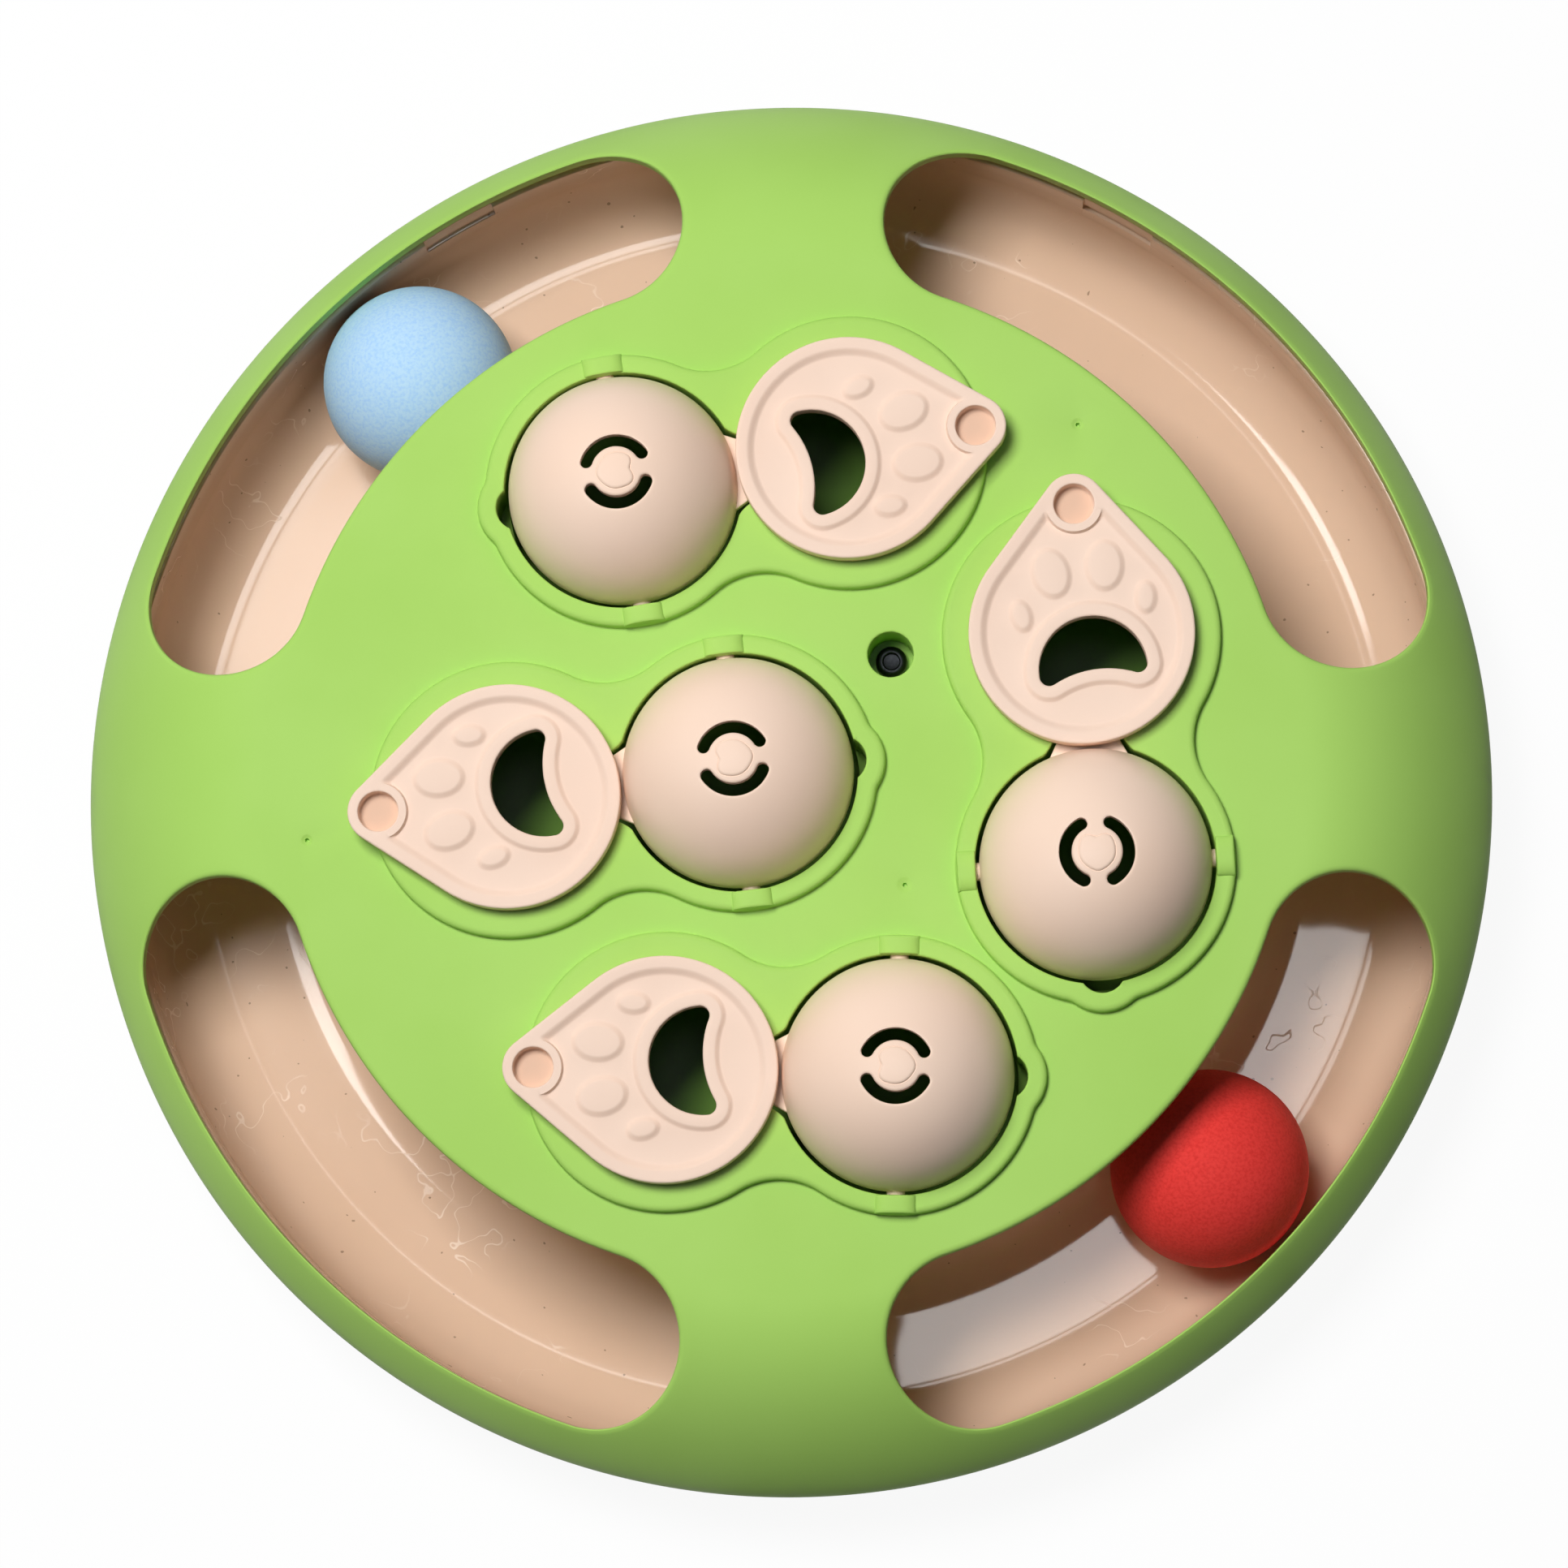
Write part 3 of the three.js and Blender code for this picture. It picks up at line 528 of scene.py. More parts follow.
class RoundSlot:
    """A ring sector pierced by a round-ended slot: a border and a slot outline with as many points each."""

    def __init__(self, inner_r, outer_r, span, slot_r, half_w, half_angle, edge, steps):
        self.slot_r = slot_r
        self.half_w = half_w
        self.edge = edge
        arc_steps, cap_steps, self.sheet_steps = steps
        side = span / 2
        gap = side - half_angle
        turn_out = math.atan2(outer_r * math.sin(gap), outer_r * math.cos(gap) - slot_r)
        turn_in = math.atan2(inner_r * math.sin(gap), inner_r * math.cos(gap) - slot_r)
        # Corners in order: slot angle, slot turn, border angle, border share, steps to the next corner
        corners = [
            (-half_angle, 0, -half_angle, 1, arc_steps),
            (half_angle, 0, half_angle, 1, cap_steps),
            (half_angle, turn_out, side, 1, cap_steps),
            (half_angle, turn_in, side, 0, cap_steps),
            (half_angle, math.pi, half_angle, 0, arc_steps),
            (-half_angle, math.pi, -half_angle, 0, cap_steps),
            (-half_angle, FULL - turn_in, -side, 0, cap_steps),
            (-half_angle, FULL - turn_out, -side, 1, cap_steps),
            (-half_angle, FULL, -half_angle, 1, 0),
        ]
        self.points = []
        for (*start, count), (*end, _) in zip(corners, corners[1:]):
            for i in range(count):
                self.points.append([mix(a, b, i / count) for a, b in zip(start, end)])

    def border(self, line, reach, heading):
        low, high = [line.length_at(radius) for radius in reach]
        return [(heading + angle, mix(low, high, share)) for _, _, angle, share in self.points]

    def outline(self, line, heading, extra):
        """The slot's outline on a line's surface, wider by extra all round."""
        found = []
        for angle, turn, _, _ in self.points:
            spot = polar(self.slot_r, angle) + polar(self.half_w + extra, angle + turn)
            found.append((heading + math.atan2(spot.y, spot.x), line.length_at(spot.length)))
        return found

    def border_angles(self, headings, share):
        """Angles round the inner sides (0) or outer sides (1) of the borders at these headings."""
        own = sorted({round(a, 9) for _, _, a, s in self.points if s == share})[:-1]
        return [heading + angle for heading in headings for angle in own]

    def pierce(self, bm, outside, reach, inside, inner_reach, heading):
        """The sheet from the outer border, over the slot's rounded edge, to the inner border."""
        border = self.border(outside, reach, heading)
        rim = self.outline(outside, heading, self.edge)
        loop = ring(bm, outside.spots(border))
        for share in shares(self.sheet_steps):
            loop = grow(bm, loop, between(outside, border, rim, share))
        starts = outside.spots(rim)
        corners = outside.spots(self.outline(outside, heading, 0))
        down = Vector((0, 0, -self.edge))
        rounds = [bend(a, b, b + down) for a, b in zip(starts, corners)]
        for places in zip(*rounds):
            loop = grow(bm, loop, places)
        inner = self.outline(inside, heading, 0)
        far = self.border(inside, inner_reach, heading)
        loop = grow(bm, loop, inside.spots(inner))
        for share in shares(INNER_STEPS):
            loop = grow(bm, loop, between(inside, inner, far, share))


def hinge_at(name):
    joint = next(joint for joint in frame["joints"] if joint["name"] == name)
    return Vector(joint["pos_m"]) / MM


def compartment_place(number):
    """Puts a compartment's own frame where its dome and lid hinges are."""
    dome = hinge_at(f"dome_{number}_flip")
    way = hinge_at(f"lid_{number}_swing") - dome
    return Matrix.Translation((dome.x, dome.y, 0)) @ Matrix.Rotation(math.atan2(way.y, way.x), 4, "Z")


COMPARTMENTS = {number: compartment_place(number) for number in (1, 2, 3, 4)}


def node_middle(name):
    low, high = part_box(name)
    return (Vector(low) + Vector(high)) / (2 * MM)


SCREW_AT = node_middle("deck_screw")
FOOT_PLACES = [node_middle(f"foot_{i + 1}") for i in range(FOOT_COUNT)]


def placed(outline, place):
    """A compartment's outline in the feeder's frame."""
    turn = place.to_euler().z
    return moved(outline, turn, place.translation.xy)


# Cover


def shoulder(face):
    """The cover's line from deck to widest, on its outer face (0) or its inner face (1)."""
    a = Vector((DECK_FLAT_R, DECK_Z))
    b = Vector((DECK_FLAT_R + SHOULDER_PULL, DECK_Z))
    c = Vector((COVER_R, WIDEST_Z + RIM_PULL))
    d = Vector((COVER_R, WIDEST_Z))
    points = [(WINDOW_ZONE_R, DECK_Z - face * DECK_WALL)]
    for i in range(SHOULDER_STEPS + 1):
        t = i / SHOULDER_STEPS
        spot = a * (1 - t) ** 3 + b * 3 * t * (1 - t) ** 2 + c * 3 * t * t * (1 - t) + d * t**3
        slope = ((b - a) * (1 - t) ** 2 + (c - b) * 2 * t * (1 - t) + (d - c) * t * t).normalized()
        wall = face * mix(DECK_WALL, COVER_WALL, t)
        points.append((spot.x + slope.y * wall, spot.y - slope.x * wall))
    return Line(points)


def platform_outline():
    """Lobes round the dome, the lid, the lid's tip and the claw notch."""
    dome = round_part(0, 0, DOME_WELL_R + PLATFORM_BAND)
    lid = round_part(LID_PITCH, 0, LID_R + LID_LEDGE)
    tip = round_part(TIP_PITCH, 0, BOSS_R)
    bulge = round_part(-DOME_WELL_R - CLAW_DEPTH - CLAW_WALL + CLAW_W, 0, CLAW_W)
    return chain([
        tip,
        blend(lid, tip, BOSS_BLEND_R, 1),
        lid,
        blend(dome, lid, PLATFORM_NECK_R, 1),
        dome,
        blend(bulge, dome, CLAW_BLEND_R, 1),
        bulge,
        blend(bulge, dome, CLAW_BLEND_R, -1),
        dome,
        blend(dome, lid, PLATFORM_NECK_R, -1),
        lid,
        blend(lid, tip, BOSS_BLEND_R, -1),
    ])


def well_outline():
    """The joined wells of dome and lid with the tab's way and the claw notch, and the notch's points."""
    claw_r = CLAW_W / 2
    claw_x = -DOME_WELL_R - CLAW_DEPTH + claw_r
    meet_x = (DOME_WELL_R**2 - claw_r**2 + claw_x**2) / (2 * claw_x)
    meet_y = math.sqrt(DOME_WELL_R**2 - meet_x**2)
    claw_from = math.atan2(meet_y, meet_x - claw_x)
    dome_to = math.atan2(meet_y, meet_x)
    tab_y = TAB_END_W / 2 + TAB_PLAY
    lid_from = math.pi - math.asin(tab_y / LID_WELL_R)
    dome_from = math.asin(TAB_FLARE_Y / DOME_WELL_R)
    lid = arc((LID_PITCH, 0), LID_WELL_R, -lid_from, lid_from, last=True)
    upper = arc((0, 0), DOME_WELL_R, dome_from, dome_to)
    flare = flare_outline(lid[-1], upper[0])
    claw = arc((claw_x, 0), claw_r, claw_from, FULL - claw_from)
    lower = arc((0, 0), DOME_WELL_R, FULL - dome_to, FULL - dome_from, last=True)
    mirrored = [(Vector((spot.x, -spot.y)), Vector((way.x, -way.y))) for spot, way in reversed(flare)]
    outline = lid + flare + upper + claw + lower + mirrored
    first = len(lid) + len(flare) + len(upper)
    return outline, range(first, first + len(claw))


def flare_outline(start, end):
    """One side of the tab's way, from the lid's well and flared into the dome's well."""
    spots = bend(start[0], TAB_FLARE_AT, end[0], FLARE_STEPS)
    ways = [start[1].lerp(end[1], share).normalized() for share in shares(FLARE_STEPS)]
    return list(zip(spots, ways))[:-1]


def walled(outline, wall):
    """An outline moved out by a wall, with the stretches that would cross themselves drawn straight."""
    outer = [spot + way * wall for spot, way in outline]
    apart = [min((place - spot).length for spot, _ in outline) > wall - WALL_SLACK for place in outer]
    count = len(outer)
    clear = [apart[i - 1] and apart[i] and apart[(i + 1) % count] for i in range(count)]
    for i in range(count):
        if not clear[i]:
            back = next(k for k in range(1, count) if clear[i - k])
            ahead = next(k for k in range(1, count) if clear[(i + k) % count])
            outer[i] = outer[i - back].lerp(outer[(i + ahead) % count], back / (back + ahead))
    return [(place, way) for place, (_, way) in zip(outer, outline)]


def build_rim(bm, angles):
    """The rim from the widest line, tucked in to the foot and back up inside."""
    foot_r = COVER_R - RIM_TUCK
    inner_r = COVER_R - COVER_WALL
    tuck_z = COVER_FOOT_Z + RIM_TUCK
    outer = bend((COVER_R, WIDEST_Z), (COVER_R, tuck_z), (foot_r, COVER_FOOT_Z), RIM_STEPS)[:-1]
    foot = [(foot_r - FOOT_ROUND, COVER_FOOT_Z), (foot_r - COVER_WALL, COVER_FOOT_Z)]
    inner = bend(foot[-1], (inner_r, tuck_z), (inner_r, WIDEST_Z), FINE_STEPS)
    loop = ring(bm, round_row(angles, COVER_R, WIDEST_Z))
    for radius, height in [*outer, *foot, *inner]:
        loop = grow(bm, loop, round_row(angles, radius, height))


def without_claw(opening, claw, middle):
    """The wells' outline with the claw notch's points moved in to the dome's well."""
    ledge = []
    for i, (spot, way) in enumerate(opening):
        if i in claw:
            way = (spot - middle).normalized()
            spot = middle + way * DOME_WELL_R
        ledge.append((spot, way))
    return ledge


def build_wells(bm, opening, ledge):
    """The wells' inside from the platform down, with the claw notch's ledge. Gives the mouth loop."""
    claw_z = PLATFORM_Z - CLAW_DROP
    mouth = ring(bm, lift(opening, WELL_EDGE + HEM / 2, PLATFORM_Z))
    wall = walk(bm, mouth, opening, [*flat_to_steep(WELL_EDGE, PLATFORM_Z, -WELL_EDGE), (0, claw_z)])
    fill(bm, walk(bm, wall, ledge, [
        (0, claw_z - HEM),
        (0, WELL_FLOOR_Z + WELL_FLOOR_R),
        *steep_to_flat(-WELL_FLOOR_R, WELL_FLOOR_Z, -WELL_FLOOR_R, HIDDEN_STEPS),
    ]))
    return mouth


def build_well_skirt(bm, opening, ledge):
    """The wells' outside below the deck. Gives its loop on the deck's underside."""
    claw_z = PLATFORM_Z - CLAW_DROP - WELL_WALL
    outside = walled(opening, WELL_WALL)
    skirt = ring(bm, lift(outside, 0, DECK_UNDER_Z))
    low = walk(bm, skirt, outside, [(0, claw_z)])
    below = [(0, claw_z - HEM), (0, WELL_FLOOR_Z - WELL_WALL)]
    fill(bm, walk(bm, low, walled(ledge, WELL_WALL), below))
    return skirt


def build_platform(bm, place, wells, claw):
    """One platform with its wells and the lid's boss. Gives the foot loop and the underside's loops."""
    shape = placed(platform_outline(), place)
    foot = ring(bm, lift(shape, PLATFORM_FOOT + FINE_HEM, DECK_Z))
    top = walk(bm, foot, shape, [
        *flat_to_steep(PLATFORM_FOOT, DECK_Z, PLATFORM_FOOT),
        *steep_to_flat(-PLATFORM_EDGE, PLATFORM_Z, PLATFORM_EDGE, PLATFORM_STEPS),
        (-PLATFORM_EDGE - FINE_HEM, PLATFORM_Z),
    ])
    opening = placed(wells, place)
    ledge = without_claw(opening, claw, place.translation.xy)
    mouth = build_wells(bm, opening, ledge)
    hole_shape = placed(circle((TIP_PITCH, 0), POST_HOLE_R), place)
    hole = ring(bm, lift(hole_shape, FINE_HEM, PLATFORM_Z))
    fill(bm, top, mouth, hole)
    boss_wall = BOSS_R - POST_HOLE_R
    walk(bm, hole, hole_shape, [
        (0, PLATFORM_Z - HEM / 2),
        (0, BOSS_Z),
        (boss_wall, BOSS_Z),
        (boss_wall, DECK_UNDER_Z),
    ])
    boss = ring(bm, lift(hole_shape, boss_wall, DECK_UNDER_Z))
    return foot, [boss, build_well_skirt(bm, opening, ledge)]


def build_bumps(bm, place):
    """Round-backed bearing bumps over the dome's two pins, from the well's edge to the platform's."""
    low = DOME_WELL_R + BUMP_SET_IN
    high = DOME_WELL_R + PLATFORM_BAND + BUMP_PAST
    for side in (1, -1):
        along, across = BUMP_GRID
        made = bmesh.ops.create_grid(bm, x_segments=along, y_segments=across, size=1)["verts"]
        for vert in made:
            u = math.sin(vert.co.x * QUARTER)
            v = math.sin(vert.co.y * QUARTER)
            back = max(1 - abs(u) ** BUMP_ROUND, 0) * max(1 - abs(v) ** BUMP_END_ROUND, 0)
            height = mix(BUMP_FOOT_Z, BUMP_TOP_Z, math.sqrt(back))
            vert.co = place @ Vector((u * BUMP_W / 2, side * mix(low, high, (v + 1) / 2), height))
        faces = list({face for vert in made for face in vert.link_faces})
        sole = bmesh.ops.extrude_face_region(bm, geom=faces, use_keep_orig=True)["geom"]
        for item in sole:
            if isinstance(item, bmesh.types.BMVert):
                item.co.z = BUMP_FOOT_Z - HEM


def build_dimple(bm, x, y, radius):
    """A shallow dish in the deck with the pin hole of the mould's gate in its middle."""
    outline = circle((x, y), radius, DIMPLE_SIDES)
    gate = GATE_R - radius
    dish_z = DECK_Z - DIMPLE_DEPTH
    dish = [(gate * share, mix(DECK_Z, dish_z, ease(share))) for share in shares(EDGE_STEPS)]
    pin = [(gate - GATE_EDGE / 2, dish_z - GATE_EDGE), (gate - GATE_EDGE, DECK_Z - GATE_DEPTH)]
    return closed_form(bm, outline, [(0, DECK_Z), *dish, *pin])


def build_screw_well(bm):
    """The deck screw's sunk seat and its boss. Gives the deck's loop and the underside's loop."""
    shape = circle(SCREW_AT.xy, SCREW_WELL_R)
    mouth = ring(bm, lift(shape, WELL_EDGE + HEM, DECK_Z))
    hole = SCREW_HOLE_R - SCREW_WELL_R
    boss = SCREW_BOSS_R - SCREW_WELL_R
    walk(bm, mouth, shape, [
        *flat_to_steep(WELL_EDGE, DECK_Z, -WELL_EDGE),
        (0, SCREW_SEAT_Z),
        (hole, SCREW_SEAT_Z),
        (hole, SCREW_BOSS_Z),
        (boss, SCREW_BOSS_Z),
        (boss, DECK_UNDER_Z),
    ])
    return mouth, ring(bm, lift(shape, boss, DECK_UNDER_Z))


def build_cover():
    bm = bmesh.new()
    outside, inside = shoulder(0), shoulder(1)
    half_w = (WINDOW_OUT_R - WINDOW_IN_R) / 2
    pitch = FULL / WINDOW_COUNT
    half_angle = pitch / 2 - math.radians(SPOKE_HALF_DEG)
    slot = RoundSlot(
        WINDOW_ZONE_R, COVER_R, pitch, WINDOW_IN_R + half_w, half_w, half_angle, WINDOW_EDGE, WINDOW_STEPS
    )
    reach = (WINDOW_ZONE_R, COVER_R)
    inner_reach = (WINDOW_ZONE_R, COVER_R - COVER_WALL)
    headings = [pitch * (k + 0.5) for k in range(WINDOW_COUNT)]
    for heading in headings:
        slot.pierce(bm, outside, reach, inside, inner_reach, heading)
    build_rim(bm, slot.border_angles(headings, 1))
    angles = slot.border_angles(headings, 0)
    deck = ring(bm, round_row(angles, WINDOW_ZONE_R, DECK_Z))
    deck = grow(bm, deck, round_row(angles, WINDOW_ZONE_R - FINE_HEM, DECK_Z))
    under = ring(bm, round_row(angles, WINDOW_ZONE_R, DECK_UNDER_Z))
    wells, claw = well_outline()
    deck_loops, under_loops = [deck], [under]
    for place in COMPARTMENTS.values():
        foot, below = build_platform(bm, place, wells, claw)
        deck_loops.append(foot)
        under_loops += below
        build_bumps(bm, place)
    mouth, boss = build_screw_well(bm)
    deck_loops.append(mouth)
    under_loops.append(boss)
    deck_loops += [build_dimple(bm, *dimple) for dimple in DIMPLES]
    fill(bm, *deck_loops)
    fill(bm, *under_loops)
    return bm


# Base


def snap_angles():
    """(angle, whether in a snap pocket) round the base, close on both sides of each pocket's ends."""
    half = math.asin(SNAP_W / 2 / TROUGH_OUT_R)
    pitch = FULL / SNAP_COUNT
    tiny = math.radians(SNAP_END_DEG)
    marks = [mix(tiny - half, half - tiny, i / SNAP_STEPS) for i in range(SNAP_STEPS + 1)]
    marks += [mix(half + tiny, pitch - half - tiny, i / SNAP_GAP_STEPS) for i in range(SNAP_GAP_STEPS + 1)]
    return [(k * pitch + mark, mark < half) for k in range(SNAP_COUNT) for mark in marks]


SNAP_ANGLES = snap_angles()
CORNER_Z = FLOOR_Z + TROUGH_CORNER_R
OUT_CORNER_R = TROUGH_OUT_R - TROUGH_CORNER_R
IN_CORNER_R = TROUGH_IN_R + TROUGH_CORNER_R


def base_row(radius, height, thinned=0, drop=0):
    """Places round the base, further out in the snap pockets and lower between them."""
    return [
        (*polar(radius + (thinned if snap else 0), angle), height - (0 if snap else drop))
        for angle, snap in SNAP_ANGLES
    ]


def trough_corner(middle_r, radius, start, end, count):
    """Profile points of the trough's round corner, inside or outside."""
    spots = [polar(radius, mix(start, end, i / count)) for i in range(count + 1)]
    return [(middle_r + spot.x, CORNER_Z + spot.y) for spot in spots]


def outer_profile():
    """(radius, height) points up the base's outside, from the flange to the outer wall's top."""
    skin_r = TROUGH_CORNER_R + TROUGH_WALL
    meet = -math.asin((CORNER_Z - FLANGE_TOP_Z) / skin_r)
    outer_r = TROUGH_OUT_R + TROUGH_WALL
    edge_r = FLANGE_R - BASE_EDGE
    lip_r = FLANGE_R - FLANGE_EDGE
    lip_z = FLANGE_TOP_Z - FLANGE_EDGE
    wall_z = OUTER_WALL_TOP - BASE_EDGE
    wall_end = (outer_r - BASE_EDGE, OUTER_WALL_TOP)
    return [
        (edge_r, PLATE_Z),
        *bend((edge_r, PLATE_Z), (FLANGE_R, PLATE_Z), (FLANGE_R, PLATE_Z + BASE_EDGE), HIDDEN_STEPS),
        *bend((FLANGE_R, lip_z), (FLANGE_R, FLANGE_TOP_Z), (lip_r, FLANGE_TOP_Z), HIDDEN_STEPS),
        *trough_corner(OUT_CORNER_R, skin_r, meet, 0, SKIN_STEPS),
        (outer_r, wall_z),
        *bend((outer_r, wall_z), (outer_r, OUTER_WALL_TOP), wall_end, HIDDEN_STEPS),
    ]


def pocket_rows():
    """Rows over the outer wall's lip and down the snap pockets in it."""
    top, low = OUTER_WALL_TOP, OUTER_WALL_TOP - SNAP_H
    floor_z = low + SNAP_FLOOR_R
    rows = [base_row(TROUGH_OUT_R + BASE_EDGE, top, SNAP_THINNED - SNAP_LIP_EASE)]
    for offset, height in bend((BASE_EDGE, top), (0, top), (0, top - BASE_EDGE), HIDDEN_STEPS):
        rows.append(base_row(TROUGH_OUT_R + offset, height, SNAP_THINNED - SNAP_LIP_EASE * offset))
    rows.append(base_row(TROUGH_OUT_R, floor_z, SNAP_THINNED))
    floor = bend((SNAP_THINNED, floor_z), (SNAP_THINNED, low), (SNAP_SILL, low), HIDDEN_STEPS)
    rows += [base_row(TROUGH_OUT_R, height, offset, SNAP_ROW_DROP) for offset, height in floor]
    sill = bend((SNAP_SILL, low), (0, low), (0, low - SNAP_SILL), HIDDEN_STEPS)
    rows += [base_row(TROUGH_OUT_R, height, offset, 2 * SNAP_ROW_DROP) for offset, height in sill]
    return rows


def trough_profile():
    """(radius, height) points across the trough, over its inner wall and down to the base's floor."""
    inner_r = TROUGH_IN_R - TROUGH_WALL
    floor_r = inner_r - INNER_FLOOR_R
    floor_z = FLOOR_Z + INNER_FLOOR_R
    top, edge = INNER_WALL_TOP, INNER_WALL_EDGE
    return [
        *trough_corner(OUT_CORNER_R, TROUGH_CORNER_R, 0, -QUARTER, TROUGH_STEPS),
        *[(mix(OUT_CORNER_R, IN_CORNER_R, share), FLOOR_Z) for share in shares(TRACK_STEPS)],
        *trough_corner(IN_CORNER_R, TROUGH_CORNER_R, -QUARTER, -2 * QUARTER, TROUGH_STEPS)[1:],
        (TROUGH_IN_R, top - edge),
        *bend((TROUGH_IN_R, top - edge), (TROUGH_IN_R, top), (TROUGH_IN_R - edge, top), HIDDEN_STEPS),
        (inner_r + edge, top),
        (inner_r, top - edge),
        (inner_r, floor_z),
        *bend((inner_r, floor_z), (inner_r, FLOOR_Z), (floor_r, FLOOR_Z), HIDDEN_STEPS),
        (floor_r - HEM, FLOOR_Z),
    ]


def build_pillar(bm):
    """The deck screw's pillar on the base's floor. Gives its foot loop."""
    shape = circle(SCREW_AT.xy, SCREW_PILLAR_R)
    soft = SCREW_PILLAR_FOOT_R
    bore = SCREW_HOLE_R - SCREW_PILLAR_R
    return closed_form(bm, shape, [
        (soft + SCREW_PILLAR_EDGE, FLOOR_Z),
        *flat_to_steep(soft, FLOOR_Z, soft, HIDDEN_STEPS),
        (0, SCREW_PILLAR_TOP - SCREW_PILLAR_EDGE),
        (-SCREW_PILLAR_EDGE, SCREW_PILLAR_TOP),
        (bore + SCREW_BORE_EDGE, SCREW_PILLAR_TOP),
        (bore, SCREW_PILLAR_TOP - SCREW_BORE_EDGE),
        (bore, SCREW_BORE_Z),
    ])


def build_foot_pocket(bm, middle):
    """A rubber foot's pocket in the base's sole. Gives its mouth loop."""
    shape = circle(middle.xy, FOOT_R + FOOT_PLAY)
    depths = [(0, PLATE_Z + FOOT_POCKET_EDGE), (0, PLATE_Z + FOOT_POCKET_DEPTH)]
    return closed_form(bm, shape, [(FOOT_PLAY, PLATE_Z), *depths])


def build_base():
    bm = bmesh.new()
    sole = ring(bm, base_row(FLANGE_R - SOLE_INSET, PLATE_Z))
    rows = [base_row(*at) for at in outer_profile()]
    rows += pocket_rows()
    rows += [base_row(*at) for at in trough_profile()]
    loop = sole
    for row in rows:
        loop = grow(bm, loop, row)
    fill(bm, loop, build_pillar(bm))
    fill(bm, sole, *[build_foot_pocket(bm, middle) for middle in FOOT_PLACES])
    return bm


# Domes


def sphere_line(radius):
    """A dome's line from its top out to its rim."""
    turns = [QUARTER * i / SPHERE_STEPS for i in range(SPHERE_STEPS + 1)]
    return Line([(radius * math.sin(turn), PIVOT_Z + radius * math.cos(turn)) for turn in turns])


def build_pins(bm):
    """Pivot pins with rounded ends, through the dome's wall at both sides."""
    start = (PIN_R, PIN_TO - PIN_EDGE)
    end = bend(start, (PIN_R, PIN_TO), (PIN_R - PIN_EDGE, PIN_TO), HIDDEN_STEPS)
    profile = [(0, PIN_FROM), (PIN_R, PIN_FROM), start, *end, (0, PIN_TO)]
    for side in (1, -1):
        place = Matrix.Translation((0, 0, PIVOT_Z)) @ Matrix.Rotation(-side * QUARTER, 4, "X")
        lathe(bm, profile, PIN_SIDES, place)


def build_tab(bm):
    """The tab at the dome's rim that reaches under the lid, with rounded edges."""
    root, end = TAB_ROOT_W / 2, TAB_END_W / 2
    soft = TAB_CORNER_R
    lean = math.atan2(root - end, TAB_TO - TAB_FROM)
    ends = QUARTER - lean
    outline = [(Vector((TAB_FROM, side * root)), Vector((0, side))) for side in (1, -1)]
    outline += arc((TAB_TO - soft, -end + soft), soft, -ends, 0, last=True)
    outline += arc((TAB_TO - soft, end - soft), soft, 0, ends, last=True)
    low, high = PIVOT_Z, PIVOT_Z + TAB_T
    edge = TAB_EDGE
    fill(bm, closed_form(bm, outline, [
        *flat_to_steep(-edge, low, edge, HIDDEN_STEPS),
        *steep_to_flat(-edge, high, edge),
        (-edge - HEM, high),
    ]))


def build_dome():
    bm = bmesh.new()
    outside, inside = sphere_line(DOME_R), sphere_line(DOME_R - DOME_WALL)
    half_angle = math.radians(SLOT_HALF_DEG)
    slot = RoundSlot(
        SLOT_FIELD_IN, SLOT_FIELD_OUT, math.pi, SLOT_R, SLOT_STROKE / 2, half_angle, SLOT_EDGE, SLOT_STEPS
    )
    reach = (SLOT_FIELD_IN, SLOT_FIELD_OUT)
    headings = (QUARTER, -QUARTER)
    for heading in headings:
        slot.pierce(bm, outside, reach, inside, reach, heading)
    around = slot.border_angles(headings, 1)
    start, rim = outside.length_at(SLOT_FIELD_OUT), outside.lengths[-1] - DOME_EDGE
    loop = ring(bm, outside.row(around, start))
    for share in shares(DOME_STEPS):
        loop = grow(bm, loop, outside.row(around, mix(start, rim, share)))
    edge = bend((DOME_R, PIVOT_Z + DOME_EDGE), (DOME_R, PIVOT_Z), (DOME_R - DOME_EDGE, PIVOT_Z))
    for radius, height in [*edge, (DOME_R - DOME_WALL, PIVOT_Z)]:
        loop = grow(bm, loop, round_row(around, radius, height))
    start, end = inside.lengths[-1], inside.length_at(SLOT_FIELD_OUT)
    for share in shares(DOME_INNER_STEPS):
        loop = grow(bm, loop, inside.row(around, mix(start, end, share)))
    top = slot.border_angles(headings, 0)
    field = inside.length_at(SLOT_FIELD_IN)
    cap = ring(bm, inside.row(top, field))
    for share in CAP_SHARES:
        cap = grow(bm, cap, inside.row(top, share * field))
    fill(bm, cap)
    build_mark(bm, outside, top)
    build_pins(bm)
    build_tab(bm)
    return bm


def mark_radius(angle):
    """The mark's outline: dented towards the lid, full beside the dent, a little pointed behind."""
    off = abs(math.degrees(math.remainder(angle, FULL)))
    dent, lobe, point = [
        math.exp(-(((off - middle) / MARK_DENT_DEG) ** 2)) for middle in (0, MARK_LOBE_DEG, 180)
    ]
    return MARK_R - MARK_DENT * dent + MARK_LOBE * lobe + MARK_LOBE * point


def build_mark(bm, outside, around):
    """The small raised mark on the dome's top, in a thin moat."""

    def spot(angle, scale, offset, height):
        place = outside.spot(angle, outside.length_at(mark_radius(angle) * scale + offset))
        return place + Vector((0, 0, height))

    loop = ring(bm, outside.row(around, outside.length_at(SLOT_FIELD_IN)))
    for step in MARK_PROFILE:
        loop = grow(bm, loop, [spot(a, *step) for a in around])
    fill(bm, loop)


# Lids


